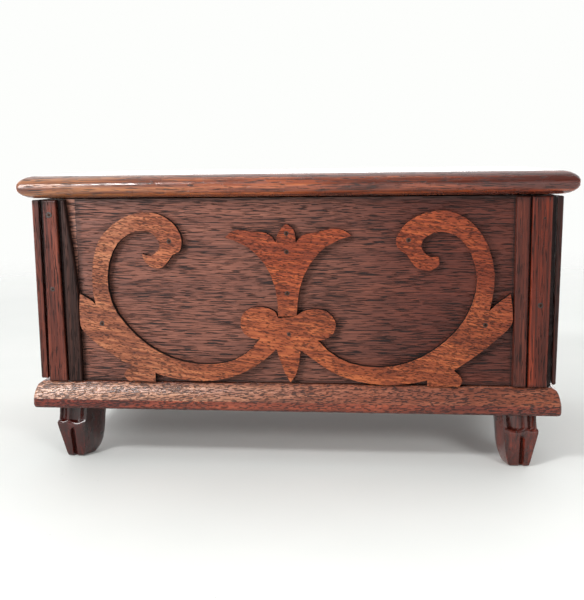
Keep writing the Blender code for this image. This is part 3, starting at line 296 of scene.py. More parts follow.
def panel_marks(shader, colour, rough):
    """The front panel's scribe lines, one shrinkage crack and bare wood by the split strip, with painted
    light and reflection across it and painted shade along its top, bottom and ends.
    """
    x, y, z = shader.split(shader.place())
    # Painted light and reflection towards the left end, painted shade towards the right end.
    colour = painted_light_along_x(shader, colour, (1.20, 1.38, 1.42), (0.64, 0.42, 0.36), start=-0.01, end=0.08)
    front = shader.range(y, PANEL_FACE + 0.0003, PANEL_FACE)
    ragged_x = ragged(shader, x, 260.0, 2.0, 0.0012)
    ragged_z = ragged(shader, z, 260.0, 2.0, 0.0012)

    bare = shader.math("MULTIPLY", band(shader, ragged_x, BARE_WOOD, 0.0024, 0.0004),
                       shader.range(z, 0.0899, 0.0914))
    bare = shader.math("MULTIPLY", bare, front)
    short_lines = shader.noise(shader.scaled(shader.place(), (150.0, 400.0, 1300.0)), detail=1.0)
    bare_colour = shader.ramp(short_lines, (0.38, tone(52, 30, 27)), (0.50, tone(112, 70, 57)),
                              (0.62, tone(150, 102, 84)))
    colour = shader.mix(bare, colour, bare_colour)

    lines = shader.math("MAXIMUM", band(shader, ragged_x, SCRIBE_LEFT, 0.00008, 0.00022),
                        band(shader, ragged_x, SCRIBE_RIGHT, 0.00008, 0.00022))
    within = shader.math("MULTIPLY", shader.range(x, 0.0305, 0.0325), shader.range(x, 0.0545, 0.0525))
    crack = shader.math("MULTIPLY", band(shader, ragged_z, 0.1197, 0.00010, 0.00022), within)
    lines = shader.math("MULTIPLY", shader.math("MAXIMUM", lines, crack), front)
    colour = shader.mix(shader.math("MULTIPLY", lines, 0.8), colour, tone(26, 15, 15))

    # Painted shade along the top under the lid, along the bottom, and at the ends by the strips.
    low = shader.range(ragged_z, PANEL_BOTTOM + 0.0030, PANEL_BOTTOM)
    high = shader.range(ragged_z, PANEL_TOP - 0.0037, PANEL_TOP)
    off_x = shader.math("ABSOLUTE", ragged_x)
    ends = shader.math("MAXIMUM", shader.math("MULTIPLY", shader.range(off_x, 0.1095, 0.1120), 0.45),
                       shader.range(off_x, 0.1131, 0.1135))
    painted_edge_shade = shader.math("MAXIMUM", shader.math("MULTIPLY", shader.math("MAXIMUM", low, high), 0.8), ends)
    painted_edge_shade = shader.math("MULTIPLY", shader.math("MULTIPLY", painted_edge_shade, front), 0.95)
    clean = shader.math("SUBTRACT", 1.0, bare)
    return shader.mix(shader.math("MULTIPLY", painted_edge_shade, clean), colour, tone(30, 17, 15)), rough


def base_wear_and_painted_light(shader, colour, rough):
    """The base's rubbed moulding shows paler wood and big open pores, paler still towards the left as painted
    sheen; the band under it is redder, with painted light and shade along it and painted shade at its lowest
    edge.
    """
    x, _, z = shader.split(shader.place())
    height = ragged(shader, z, 60.0, 3.0, 0.002)
    rubbed = shader.math("MULTIPLY", shader.range(z, BASE_ARRIS - 0.0002, BASE_ARRIS + 0.0002),
                         shader.range(height, 0.0436, 0.0424))
    # Paler rubbed wood, and towards the left a painted sheen.
    wear_and_sheen_tint = shader.mix(shader.range(x, -0.14, 0.05), (1.75, 2.85, 3.10, 1.0), (0.98, 0.93, 0.92, 1.0))
    upper = shader.mix(rubbed, colour, tinted(shader, colour, wear_and_sheen_tint))
    # Painted light and shade along the band.
    lower = painted_light_along_x(shader, colour, (0.60, 0.21, 0.14), (1.06, 0.67, 0.49), start=-0.12, end=-0.02)
    lower = painted_light_along_x(shader, lower, (1.0, 1.0, 1.0), (0.53, 0.34, 0.25), start=0.03, end=0.11)
    colour = shader.mix(shader.range(z, BASE_ARRIS + 0.0002, BASE_ARRIS - 0.0002), upper, lower)
    # Painted shade along the lowest edge, where the base turns under.
    under = shader.range(height, BASE_BOTTOM + 0.0014, BASE_BOTTOM)
    colour = shader.mix(shader.math("MULTIPLY", under, 0.5), colour, tone(50, 26, 22))
    return colour, rough


def strip_painted_shade(shader, colour, rough):
    """Painted shade: strips are darker where they meet the boards, and the far right corner is painted near
    black; the strips get tints of painted light and shade along x.
    """
    z = shader.split(shader.place())[2]
    # Painted light and shade: the strips are tinted darker up to x = 0.1165 m and redder beyond it.
    colour = painted_light_along_x(shader, colour, (0.60, 0.58, 0.57), (0.98, 0.65, 0.40), start=0.1165, end=0.1205)
    # Painted shade: the right side strip is painted near black.
    colour = painted_light_along_x(shader, colour, (1.0, 1.0, 1.0), (0.30, 0.33, 0.36), start=0.1305, end=0.1325)
    # Painted shade where the strips meet the base and the lid.
    height = ragged(shader, z, 120.0, 2.0, 0.003)
    ends = shader.math("MAXIMUM", shader.range(height, PANEL_BOTTOM + 0.0030, PANEL_BOTTOM - 0.0002),
                       shader.range(height, PANEL_TOP - 0.0047, PANEL_TOP))
    return shader.mix(shader.math("MULTIPLY", ends, 0.6), colour, tone(30, 15, 13)), rough


def lid_painted_light(shader, colour, rough):
    """Painted light and shade: the lid is tinted browner at its left end and darker at its right end."""
    colour = painted_light_along_x(shader, colour, (0.58, 0.75, 0.69), (0.88, 0.84, 0.70), start=-0.12, end=0.0)
    return painted_light_along_x(shader, colour, (1.0, 1.0, 1.0), (0.84, 0.62, 0.58), start=0.03, end=0.13), rough


def foot_painted_shade(shader, colour, rough):
    """Feet are darkest up under the base board, as painted shade, and a tint of painted light and shade makes
    the left ones darker than the right.
    """
    colour = painted_light_along_x(shader, colour, (0.50, 0.20, 0.13), (1.24, 0.94, 0.74))
    z = shader.split(shader.place())[2]
    # Painted shade up under the base board.
    top = shader.range(z, FOOT_TOP - 0.0038, FOOT_TOP)
    return shader.mix(shader.math("MULTIPLY", top, 0.55), colour, tone(20, 9, 8)), rough


def mitres(shader, colour, rough):
    """The glass frame's side rails have their own grain, and thin dark joints cross the corners."""
    x, y, _ = shader.split(shader.place())
    past_end = shader.math("SUBTRACT", GLASS_HALF_LENGTH, shader.math("ABSOLUTE", x))
    from_middle = shader.math("ABSOLUTE", shader.math("SUBTRACT", y, GLASS_MIDDLE_Y))
    past_side = shader.math("SUBTRACT", GLASS_HALF_WIDTH, from_middle)
    off_mitre = shader.math("SUBTRACT", past_end, past_side)
    cross_grain = shader.noise(shader.scaled(shader.place(), (480.0, 14.0, 480.0)), detail=3.0)
    side_rail = shader.range(off_mitre, 0.0001, -0.0001)
    side_colour = shader.ramp(cross_grain, (0.35, tone(60, 28, 22)), (0.65, tone(112, 60, 44)))
    colour = shader.mix(side_rail, colour, side_colour)
    joint = shader.range(shader.math("ABSOLUTE", off_mitre), 0.0003, 0.0001)
    return shader.mix(shader.math("MULTIPLY", joint, 0.8), colour, tone(24, 12, 10)), rough


PANEL_TONES = (tone(72, 37, 29), tone(106, 58, 45), tone(136, 79, 61), tone(22, 12, 12))
STRIP_TONES = (tone(58, 24, 17), tone(108, 47, 33), tone(146, 72, 52), tone(28, 13, 10))
PINE_TONES = (tone(164, 122, 78), tone(196, 156, 108), tone(218, 184, 138), tone(150, 108, 66))


def panel_wood(name, axis="X", extra=None):
    """Dark purple-brown stain over fine straight grain."""
    return wood(name, *PANEL_TONES, axis=axis, pore_length=0.0048, pore_width=0.00021, pore_share=0.455,
                dull=0.58, gleam=0.40, coat=0.10, coat_roughness=0.35, streak=(40.0, 2200.0), relief=0.00022,
                contrast=0.24, pore_depth=0.94, broad=(5.0, 130.0), sheen=0.35, extra=extra)


def strip_wood(name, axis="Z", extra=None):
    """Glossier red-brown moulding, with the grain along it."""
    return wood(name, *STRIP_TONES, axis=axis, wander=0.003, pore_length=0.0050, pore_width=0.00030,
                pore_share=0.41, dull=0.42, gleam=0.26, coat=0.16, coat_roughness=0.2, streak=(10.0, 620.0),
                relief=0.00018, sheen=0.24, extra=extra)


def pine_wood(name, axis="X"):
    return wood(name, *PINE_TONES, axis=axis, pore_length=0.012, pore_width=0.0005, pore_share=0.30,
                dull=0.75, gleam=0.6, coat=0.0, streak=(6.0, 180.0), contrast=0.18, relief=0.0001)


def wood_materials():
    """Materials by slot, and some under a node's own name where its grain runs another way."""
    return {
        "mahogany_lid": wood(
            "mahogany_lid", tone(84, 37, 26), tone(150, 76, 51), tone(200, 116, 76), tone(36, 17, 13),
            pore_length=0.0036, pore_width=0.00030, pore_share=0.42, dull=0.34, gleam=0.18, coat=0.6,
            coat_roughness=0.14, sheen=0.5, streak=(14.0, 380.0), relief=0.00014,
            contrast=0.13, extra=lid_painted_light),
        "mahogany_panel": panel_wood("mahogany_panel"),
        "front_panel": panel_wood("mahogany_front", extra=panel_marks),
        "end_panel": panel_wood("mahogany_ends", axis="Y"),
        "mahogany_fretwork": wood(
            "mahogany_fretwork", tone(104, 46, 26), tone(152, 74, 42), tone(194, 108, 66), tone(46, 20, 15),
            tilt=(0.0, math.radians(-7.0), 0.0), pore_length=0.0014, pore_width=0.00026, pore_share=0.45,
            dull=0.5, gleam=0.34, coat=0.10, coat_roughness=0.28, streak=(60.0, 620.0), contrast=0.15,
            relief=0.00020, pore_depth=0.72, sheen=0.32, extra=fretwork_painted_light),
        "mahogany_strip": strip_wood("mahogany_strip", extra=strip_painted_shade),
        # A darker copy of the strip wood for the left inner strip, as painted shade.
        "split_strip": wood(
            "mahogany_split_strip", tone(28, 15, 12), tone(56, 32, 26), tone(82, 49, 40), tone(16, 9, 8),
            axis="Z", wander=0.003, pore_length=0.0050, pore_width=0.00030, pore_share=0.43, dull=0.6,
            gleam=0.45, coat=0.0, sheen=0.2, streak=(10.0, 620.0), extra=strip_painted_shade),
        "glass_frame": strip_wood("mahogany_glass_frame", axis="X", extra=mitres),
        "winding_knob": strip_wood("mahogany_knob", axis="X"),
        "mahogany_base": wood(
            "mahogany_base", tone(96, 48, 33), tone(134, 74, 53), tone(166, 102, 76), tone(42, 20, 17),
            tilt=(0.0, math.radians(4.0), 0.0), pore_length=0.0016, pore_width=0.00028, pore_share=0.49,
            pore_depth=0.86, dull=0.44, gleam=0.24, coat=0.35, coat_roughness=0.2, sheen=0.45,
            streak=(26.0, 420.0), contrast=0.2, relief=0.00024, extra=base_wear_and_painted_light),
        "mahogany_foot": wood(
            "mahogany_foot", tone(44, 17, 13), tone(78, 31, 24), tone(112, 48, 36), tone(24, 10, 8),
            axis="Z", wander=0.002, pore_length=0.0036, pore_width=0.00034, pore_share=0.34, dull=0.3,
            gleam=0.16, coat=0.5, coat_roughness=0.1, sheen=0.5, streak=(20.0, 460.0), relief=0.00012,
            extra=foot_painted_shade),
        "pine": pine_wood("pine"),
        "partition": pine_wood("pine_partition", axis="Y"),
    }


# ---------------------------------------------------------------- metal, glass and card

def metal(name, clean, stained, gleam=0.22, dull=0.45, lines=None, relief=0.00003):
    """Old metal: fine tool lines, cloudy tarnish and small dark spots."""
    shader = Shader(name, metallic=1.0)
    place = shader.place()
    cloud = shader.noise(place, scale=70.0, detail=4.0, roughness=0.65)
    spots = shader.noise(place, scale=900.0, detail=2.0)
    brushed = shader.noise(shader.scaled(place, lines or (900.0, 900.0, 900.0)), detail=2.0)
    stain = shader.range(cloud, 0.52, 0.72, 0.0, 0.8)
    stain = shader.math("MAXIMUM", stain, shader.range(spots, 0.68, 0.76, 0.0, 0.6))
    colour = shader.mix(stain, clean, stained)
    colour = shader.mix(shader.range(brushed, 0.35, 0.65, 0.0, 0.22), colour, stained)
    mixed = shader.math("ADD", shader.math("MULTIPLY", cloud, 0.5), shader.math("MULTIPLY", brushed, 0.5))
    rough = shader.range(mixed, 0.35, 0.65, gleam, dull)
    return shader.finish(colour, rough, shader.bump(brushed, relief))


def cast_iron():
    """The bedplate: rough castings under dull dark paint."""
    shader = Shader("cast_iron", metallic=0.35)
    place = shader.place()
    grit = shader.noise(place, scale=1400.0, detail=3.0)
    cloud = shader.noise(place, scale=60.0, detail=3.0)
    colour = shader.ramp(cloud, (0.35, tone(58, 60, 58)), (0.55, tone(84, 86, 82)), (0.7, tone(108, 100, 88)))
    rough = shader.range(grit, 0.3, 0.7, 0.45, 0.7)
    return shader.finish(colour, rough, shader.bump(grit, 0.0001))


def glass():
    """Thin old window glass with a faint green tint and a little dust."""
    shader = Shader("glass", transmission_weight=1.0, ior=1.5)
    dust = shader.noise(shader.place(), scale=45.0, detail=5.0, roughness=0.7)
    ripple = shader.noise(shader.place(), scale=28.0, detail=1.0)
    colour = shader.ramp(dust, (0.3, tone(244, 250, 246)), (0.8, tone(226, 232, 226)))
    rough = shader.range(dust, 0.45, 0.8, 0.01, 0.14)
    return shader.finish(colour, rough, shader.bump(ripple, 0.0002, strength=0.4))


CARD_HALF_LENGTH = 0.062
CARD_HALF_WIDTH = 0.0425
CARD_MIDDLE_Y = -0.0025
CARD_BORDERS = ((0.003, 0.0006), (0.0052, 0.0002))  # how far in each printed line is, and its half width
RULE_SPACING = 0.0045  # half the distance between two ruled lines


def card():
    """The tune sheet inside the lid: yellowed card with a plain ruled border and blank ruled lines."""
    shader = Shader("card")
    place = shader.place()
    x, y, _ = shader.split(place)
    fibre = shader.noise(place, scale=1500.0, detail=3.0)
    age = shader.noise(place, scale=28.0, detail=4.0, roughness=0.6)
    colour = shader.ramp(age, (0.35, tone(226, 208, 168)), (0.6, tone(212, 188, 142)),
                         (0.75, tone(178, 146, 100)))
    colour = shader.mix(shader.range(fibre, 0.4, 0.7, 0.0, 0.15), colour, tone(150, 120, 84))
    ink = tone(96, 44, 40)
    off_x = shader.math("ABSOLUTE", x)
    off_y = shader.math("ABSOLUTE", shader.math("SUBTRACT", y, CARD_MIDDLE_Y))
    for inset, half in CARD_BORDERS:
        line_x = CARD_HALF_LENGTH - inset
        line_y = CARD_HALF_WIDTH - inset
        edge_x = band(shader, off_x, line_x, half, 0.0001)
        edge_y = band(shader, off_y, line_y, half, 0.0001)
        edge_x = shader.math("MULTIPLY", edge_x, shader.range(off_y, line_y + 0.0002, line_y))
        edge_y = shader.math("MULTIPLY", edge_y, shader.range(off_x, line_x + 0.0002, line_x))
        colour = shader.mix(shader.math("MULTIPLY", shader.math("MAXIMUM", edge_x, edge_y), 0.8), colour, ink)
    rows = shader.math("PINGPONG", y, RULE_SPACING)
    rule = shader.range(rows, 0.00022, 0.00012)
    rule = shader.math("MULTIPLY", rule, shader.range(off_x, 0.050, 0.0495))
    rule = shader.math("MULTIPLY", rule, shader.range(off_y, 0.031, 0.0305))
    colour = shader.mix(shader.math("MULTIPLY", rule, 0.45), colour, ink)
    return shader.finish(colour, shader.range(age, 0.3, 0.7, 0.75, 0.9), shader.bump(fibre, 0.00003))


def all_materials():
    made = wood_materials()
    made["brass"] = metal("brass", tone(206, 168, 106), tone(124, 92, 52), lines=(300.0, 1800.0, 1800.0))
    made["steel"] = metal("steel", tone(186, 186, 184), tone(104, 98, 92), lines=(2000.0, 240.0, 2000.0))
    made["blued_steel"] = metal("blued_steel", tone(58, 70, 104), tone(62, 48, 44), gleam=0.18, dull=0.35)
    made["cast_iron"] = cast_iron()
    made["glass"] = glass()
    made["card"] = card()
    made["lead"] = metal("lead", tone(112, 114, 118), tone(70, 70, 72), gleam=0.5, dull=0.75, relief=0.0001)
    made["rusty_iron"] = metal("rusty_iron", tone(62, 43, 35), tone(32, 20, 17), gleam=0.5, dull=0.75,
                               lines=(2600.0, 2600.0, 2600.0), relief=0.00008)
    made["pin_stain"] = stain_material()
    return made


def stain_material():
    """The dark ring that rust and polish leave round an iron pin."""
    shader = Shader("pin_stain")
    mottled = shader.noise(shader.place(), scale=1800.0, detail=3.0)
    colour = shader.ramp(mottled, (0.35, tone(24, 16, 14)), (0.65, tone(58, 38, 30)))
    return shader.finish(colour, shader.range(mottled, 0.3, 0.7, 0.45, 0.8), shader.bump(mottled, 0.00015))


# ---------------------------------------------------------------- finishing the CAD pieces

OWN_WOOD = {
    "left_inner_front_strip": "split_strip",
    "front_panel": "front_panel", "left_end_panel": "end_panel", "right_end_panel": "end_panel",
    "left_partition": "partition", "right_partition": "partition", "glass_frame": "glass_frame",
    "winding_knob": "winding_knob"}
EDGE_WIDTHS = {
    "mahogany_lid": 0.30, "mahogany_panel": 0.2, "mahogany_fretwork": 0.34, "mahogany_strip": 0.25,
    "mahogany_base": 0.30, "mahogany_foot": 0.35, "pine": 0.3, "brass": 0.12, "steel": 0.08,
    "blued_steel": 0.06, "cast_iron": 0.5, "glass": 0.15, "card": 0.05}


def soften_edges(piece, width, sharpest=32.0):
    """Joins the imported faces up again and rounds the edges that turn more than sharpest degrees."""
    piece.data.shade_smooth()
    weld = piece.modifiers.new("weld", "WELD")
    weld.merge_threshold = 0.002 * MM
    bevel = piece.modifiers.new("edges", "BEVEL")
    bevel.width = width * MM
    bevel.segments = 2
    bevel.limit_method = "ANGLE"
    bevel.angle_limit = math.radians(sharpest)
    bevel.miter_outer = "MITER_ARC"
    normals = piece.modifiers.new("normals", "WEIGHTED_NORMAL")
    normals.keep_sharp = False
    normals.weight = 100


def dress(materials):
    """Gives every CAD piece the material of its slot in the record."""
    slots = {s["node"]: s["material_slot"] for s in frame["record"]["subparts"]}
    for name, piece in nodes.items():
        slot = slots[name]
        piece.data.materials.clear()
        piece.data.materials.append(materials[OWN_WOOD.get(name, slot)])
        soften_edges(piece, EDGE_WIDTHS[slot], 12.0 if name == "base_board" else 32.0)


# ---------------------------------------------------------------- small pieces

def new_piece(name, bm, looks, body):
    """Turns a bmesh into a piece that rides on a CAD body."""
    bmesh.ops.recalc_face_normals(bm, faces=bm.faces)
    mesh = bpy.data.meshes.new(name)
    bm.to_mesh(mesh)
    bm.free()
    for look in looks:
        mesh.materials.append(look)
    piece = bpy.data.objects.new(name, mesh)
    bpy.context.scene.collection.objects.link(piece)
    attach(piece, body)
    return piece


def lathe(bm, profile, matrix, segments=16):
    """Adds a turned solid: profile is (radius, height) from bottom to top, closed at both ends."""
    rings = []
    for radius, height in profile:
        if radius < 1e-9:
            rings.append([bm.verts.new(matrix @ Vector((0.0, 0.0, height)))])
            continue
        ring = []
        for step in range(segments):
            angle = 2 * math.pi * step / segments
            point = Vector((radius * math.cos(angle), radius * math.sin(angle), height))
            ring.append(bm.verts.new(matrix @ point))
        rings.append(ring)
    for lower, upper in zip(rings, rings[1:]):
        for step in range(segments):
            after = (step + 1) % segments
            corners = [lower[step % len(lower)], lower[after % len(lower)],
                       upper[after % len(upper)], upper[step % len(upper)]]
            unique = list(dict.fromkeys(corners))
            if len(unique) > 2:
                bm.faces.new(unique).smooth = True
    for ring in (rings[0], rings[-1]):
        if len(ring) > 2:
            bm.faces.new(ring)


def facing_front(x, y, z):
    """A frame whose Z points out of the front, at a point in millimetres."""
    return Matrix.Translation(Vector((x, y, z)) * MM) @ Matrix.Rotation(math.pi / 2, 4, "X")


PANEL_PINS = (
    # x, z, radius of the head, radius of the stain
    (-63.0, 118.4, 0.75, 1.30), (-100.5, 75.2, 0.65, 1.35), (-2.1, 122.3, 0.8, 1.25),
    (-2.1, 112.9, 0.8, 1.2), (-2.0, 91.6, 0.75, 1.3), (-1.4, 70.2, 0.5, 1.05),
    (59.5, 118.7, 0.7, 1.25), (98.2, 75.7, 0.75, 1.3))
STRIP_PINS = (
    (-126.4, 132.4, 0.6, 1.7), (-126.4, 93.4, 0.5, 1.3), (125.0, 85.9, 0.7, 1.5), (125.9, 129.3, 0.35, 0.7))
FRETWORK_FACE = -78.9  # y of the faces that the pins stand in
STRIP_FACE = -79.0
PIN_GROUPS = (("fretwork_pins", FRETWORK_FACE, PANEL_PINS), ("strip_pins", STRIP_FACE, STRIP_PINS))


def build_pins(materials):
    """Iron panel pins: a small domed head sitting in a low ragged ring of stain."""
    rng = random.Random(7)
    for group, face, places in PIN_GROUPS:
        bm = bmesh.new()
        for x, z, head, stain in places:
            at = facing_front(x, face, z)
            lathe(bm, ((head * MM, 0.02 * MM), (head * 0.97 * MM, 0.09 * MM), (head * 0.7 * MM, 0.17 * MM),
                       (0.0, 0.21 * MM)), at)
            ragged_ring(bm, at, head, stain, rng)
        new_piece(group, bm, [materials["rusty_iron"], materials["pin_stain"]], "case")


def ragged_ring(bm, at, inner, outer, rng, segments=22):
    """A low ring that rises a hair above the wood, with an uneven outer edge."""
    rows = []
    for radius, height, wobble in ((inner * 1.02, 0.015, 0.0), (inner + 0.5 * (outer - inner), 0.05, 0.05),
                                   (outer * 0.92, 0.03, 0.12), (outer, -0.02, 0.16)):
        row = []
        for step in range(segments):
            angle = 2 * math.pi * step / segments
            reach = radius * (1.0 + wobble * (rng.random() - 0.6))
            point = Vector((reach * math.cos(angle) * MM, reach * math.sin(angle) * MM, height * MM))
            row.append(bm.verts.new(at @ point))
        rows.append(row)
    for lower, upper in zip(rows, rows[1:]):
        for step in range(segments):
            after = (step + 1) % segments
            face = bm.faces.new((lower[step], lower[after], upper[after], upper[step]))
            face.smooth = True
            face.material_index = 1


# ---------------------------------------------------------------- small parts of the movement

# Millimetres in the scene. The cylinder's axis runs along X.
AXIS_Y = 12.0
AXIS_Z = 98.4
CYLINDER_RADIUS = 22.0
CYLINDER_ENDS = (-35.2, 59.2)
COMB_LEFT = -37.0
COMB_RIGHT = 61.0
COMB_TIPS = -11.3
COMB_TOP = 98.8
COMB_BOTTOM = 97.2
TEETH = 40
TOOTH_PITCH = (COMB_RIGHT - COMB_LEFT + 0.6) / TEETH
BED_TOP = 68.4


def tooth_centres():
    """The middle of each comb tooth that stands over the cylinder, from right to left."""
    centres = [COMB_RIGHT - TOOTH_PITCH * (tooth + 0.5) + 0.3 for tooth in range(TEETH)]
    return [x for x in centres if CYLINDER_ENDS[0] < x < CYLINDER_ENDS[1]]


def build_cylinder_pins(materials):
    """The tune: fine steel pins that stand out of the cylinder, in three tracks to every tooth."""
    rng = random.Random(41)
    bm = bmesh.new()
    beats = 96
    silent = 6  # beats between the end of a tune and its beginning
    for centre in tooth_centres():
        for track in (-0.7, 0.0, 0.7):
            for beat in range(silent, beats):
                if rng.random() < 0.085:
                    add_pin(bm, centre + track, 2 * math.pi * (beat + rng.uniform(-0.1, 0.1)) / beats)
    new_piece("cylinder_pins", bm, [materials["steel"]], "cylinder")


def add_pin(bm, x, angle, sides=4):
    """One tapered pin that leans a little forward, as music box pins do."""
    rows = []
    for reach, half, lean in ((-0.2, 0.22, 0.0), (0.45, 0.18, 0.004), (0.85, 0.12, 0.012)):
        radius = CYLINDER_RADIUS + reach
        leaning = angle + lean
        middle = Vector((x, AXIS_Y + radius * math.cos(leaning), AXIS_Z + radius * math.sin(leaning)))
        tangent = Vector((0.0, -math.sin(angle), math.cos(angle)))
        row = []
        for side in range(sides):
            turn = 2 * math.pi * side / sides
            offset = Vector((half * math.cos(turn), 0.0, 0.0)) + tangent * half * math.sin(turn)
            row.append(bm.verts.new((middle + offset) * MM))
        rows.append(row)
    for lower, upper in zip(rows, rows[1:]):
        for side in range(sides):
            after = (side + 1) % sides
            bm.faces.new((lower[side], lower[after], upper[after], upper[side]))
    bm.faces.new(rows[-1])
    bm.faces.new(rows[0])


def add_box(bm, low, high):
    """A block between two corners, given in millimetres."""
    rows = []
    for height in (low[2], high[2]):
        rows.append([bm.verts.new(Vector((x, y, height)) * MM) for x, y in (
            (low[0], low[1]), (high[0], low[1]), (high[0], high[1]), (low[0], high[1]))])
    lower, upper = rows
    bm.faces.new(lower)
    bm.faces.new(upper)
    for side in range(4):
        after = (side + 1) % 4
        bm.faces.new((lower[side], lower[after], upper[after], upper[side]))


SLOT_SHARE = 0.13  # half the width of a screw's slot, as a share of the head's radius
HALF_HEAD_STEPS = 8


def add_screw(bm, at, radius, height, turn):
    """A cheese-head screw: a domed head with a slot cut right across it, in the piece's second material."""
    lathe(bm, ((radius * MM, -0.05 * MM), (radius * MM, height * 0.72 * MM),
               (radius * 0.9 * MM, height * 0.92 * MM)), at, segments=20)
    half = radius * SLOT_SHARE

    def corner(x, y, z):
        return bm.verts.new(at @ (Matrix.Rotation(turn, 4, "Z") @ Vector((x * MM, y * MM, z * MM))))

    for sign in (-1, 1):
        outline = []
        for step in range(HALF_HEAD_STEPS + 1):
            angle = math.pi * step / HALF_HEAD_STEPS
            x = radius * 0.9 * math.cos(angle)
            y = max(half, radius * 0.9 * math.sin(angle))
            outline.append((x, sign * y))
        floor = [corner(x, y, height * 0.9) for x, y in outline]
        lid = [corner(x * 0.94, y, height) for x, y in outline]
        bm.faces.new(lid)
        bm.faces.new(floor)
        for step in range(len(outline)):
            after = (step + 1) % len(outline)
            bm.faces.new((floor[step], floor[after], lid[after], lid[step]))
    end = radius * 0.86
    slot = [corner(x, y, height * 0.94) for x, y in ((-end, -half), (end, -half), (end, half), (-end, half))]
    bm.faces.new(slot).material_index = 1


def facing_up(x, y, z):
    return Matrix.Translation(Vector((x, y, z)) * MM)


def facing_down(x, y, z):
    return Matrix.Translation(Vector((x, y, z)) * MM) @ Matrix.Rotation(math.pi, 4, "X")


def facing_left(x, y, z):
    return Matrix.Translation(Vector((x, y, z)) * MM) @ Matrix.Rotation(-math.pi / 2, 4, "Y")


def screw_group(name, materials, body, screws, metal_slot="steel"):
    """Several screws in one piece: each is (frame, radius, head height, turn of the slot)."""
    bm = bmesh.new()
    for at, radius, height, turn in screws:
        add_screw(bm, at, radius, height, turn)
    new_piece(name, bm, [materials[metal_slot], materials["pin_stain"]], body)


def build_screws(materials):
    """The slotted screws of the comb, bedplate, governor and hinges."""
    comb = [(facing_up(-32.0 + 12.6 * place, -53.0, COMB_TOP), 1.9, 1.1, 0.4 + 1.3 * place)
            for place in range(8)]
    screw_group("comb_screws", materials, "case", comb, "blued_steel")
    bed = [(facing_up(x, y, BED_TOP), 2.6, 1.3, turn) for x, y, turn in (
        (-87.0, -55.0, 0.3), (83.0, -56.5, 1.9), (-87.0, 35.0, 1.1), (89.0, 35.0, 2.6), (8.0, 35.0, 0.7))]
    screw_group("bed_screws", materials, "case", bed)
    governor = [(facing_up(86.3, -40.5, 71.4), 1.8, 1.0, 0.9), (facing_up(75.0, -30.0, 71.4), 1.8, 1.0, 2.2),
                (facing_up(80.5, -41.4, 117.6), 1.5, 0.9, 1.4)]
    screw_group("governor_screws", materials, "case", governor, "blued_steel")
    leaf_y = 76.6
    spots = (-10.0, 0.0, 10.0)
    case_screws = []
    lid_screws = []
    for centre in (-80.0, 80.0):
        for index, spot in enumerate(spots):
            turn = 0.5 + 0.9 * index
            case_screws.append((facing_up(centre + spot, leaf_y, 138.9), 1.5, 0.14, turn))
            lid_screws.append((facing_down(centre + spot, leaf_y, 139.4), 1.5, 0.14, turn))
    screw_group("hinge_case_screws", materials, "case", case_screws, "brass")
    screw_group("hinge_lid_screws", materials, "lid", lid_screws, "brass")


def build_card_tacks(materials):
    """Four brass tacks that hold the tune sheet under the lid."""
    bm = bmesh.new()
    for x in (-58.8, 58.8):
        for y in (-41.8, 36.8):
            lathe(bm, ((1.3 * MM, -0.02 * MM), (1.25 * MM, 0.2 * MM), (0.8 * MM, 0.5 * MM), (0.0, 0.62 * MM)),
                  facing_down(x, y, 140.2))
    new_piece("card_tacks", bm, [materials["brass"]], "lid")


def build_comb_weights(materials):
    """Lead weights under the low teeth, and a fine damper wire under every tooth."""
    weights = bmesh.new()
    dampers = bmesh.new()
    for index, centre in enumerate(reversed(tooth_centres())):
        if index < 18:
            drop = 3.4 - 0.13 * index
            add_box(weights, (centre - 0.8, COMB_TIPS - 7.0, COMB_BOTTOM - drop),
                    (centre + 0.8, COMB_TIPS - 1.6, COMB_BOTTOM + 0.05))
        add_box(dampers, (centre - 0.12, COMB_TIPS - 1.4, COMB_BOTTOM - 0.9),
                (centre + 0.12, COMB_TIPS - 0.2, COMB_BOTTOM - 0.65))
        add_box(dampers, (centre - 0.12, COMB_TIPS - 1.4, COMB_BOTTOM - 0.9),
                (centre + 0.12, COMB_TIPS - 1.15, COMB_BOTTOM + 0.05))
    new_piece("comb_weights", weights, [materials["lead"]], "case")
    new_piece("comb_dampers", dampers, [materials["steel"]], "case")


def add_strip(bm, path, half_width, thickness, middle):
    """A bent leaf along a path of (y, z) points, centred on x = middle."""
    rows = []
    for index, (y, z) in enumerate(path):
        before = Vector(path[max(0, index - 1)])
        after = Vector(path[min(len(path) - 1, index + 1)])
        run = (after - before).normalized()
        side = Vector((-run.y, run.x)) * thickness / 2
        rows.append([bm.verts.new(Vector((middle + x, y + sign * side.x, z + sign * side.y)) * MM)
                     for x, sign in ((-half_width, -1), (half_width, -1), (half_width, 1), (-half_width, 1))])
    for lower, upper in zip(rows, rows[1:]):
        for side in range(4):
            after = (side + 1) % 4
            bm.faces.new((lower[side], lower[after], upper[after], upper[side]))
    bm.faces.new(rows[0])
    bm.faces.new(rows[-1])


def build_click_parts(materials):
    """The click turns on a shouldered screw, and a leaf spring screwed to the bed presses on its hub."""
    bm = bmesh.new()
    pivot = (25.5, 84.9)
    lathe(bm, ((2.2 * MM, 0.0), (2.2 * MM, 3.8 * MM), (1.2 * MM, 3.8 * MM), (1.2 * MM, 6.7 * MM)),
          facing_left(-88.1, *pivot))
    add_screw(bm, facing_left(-94.7, *pivot), 2.4, 1.1, 0.8)
    new_piece("click_stud", bm, [materials["steel"], materials["pin_stain"]], "case")
    bm = bmesh.new()
    leaf = [(38.5, 68.9), (36.6, 69.0), (35.8, 70.2), (34.6, 74.0), (32.6, 78.6), (30.4, 82.6), (29.4, 84.6)]
    leaf_x = -93.2
    add_strip(bm, leaf, 0.9, 0.45, leaf_x)
    add_screw(bm, facing_up(leaf_x, 38.0, 69.05), 1.3, 0.8, 0.4)
    new_piece("click_spring", bm, [materials["blued_steel"], materials["pin_stain"]], "case")


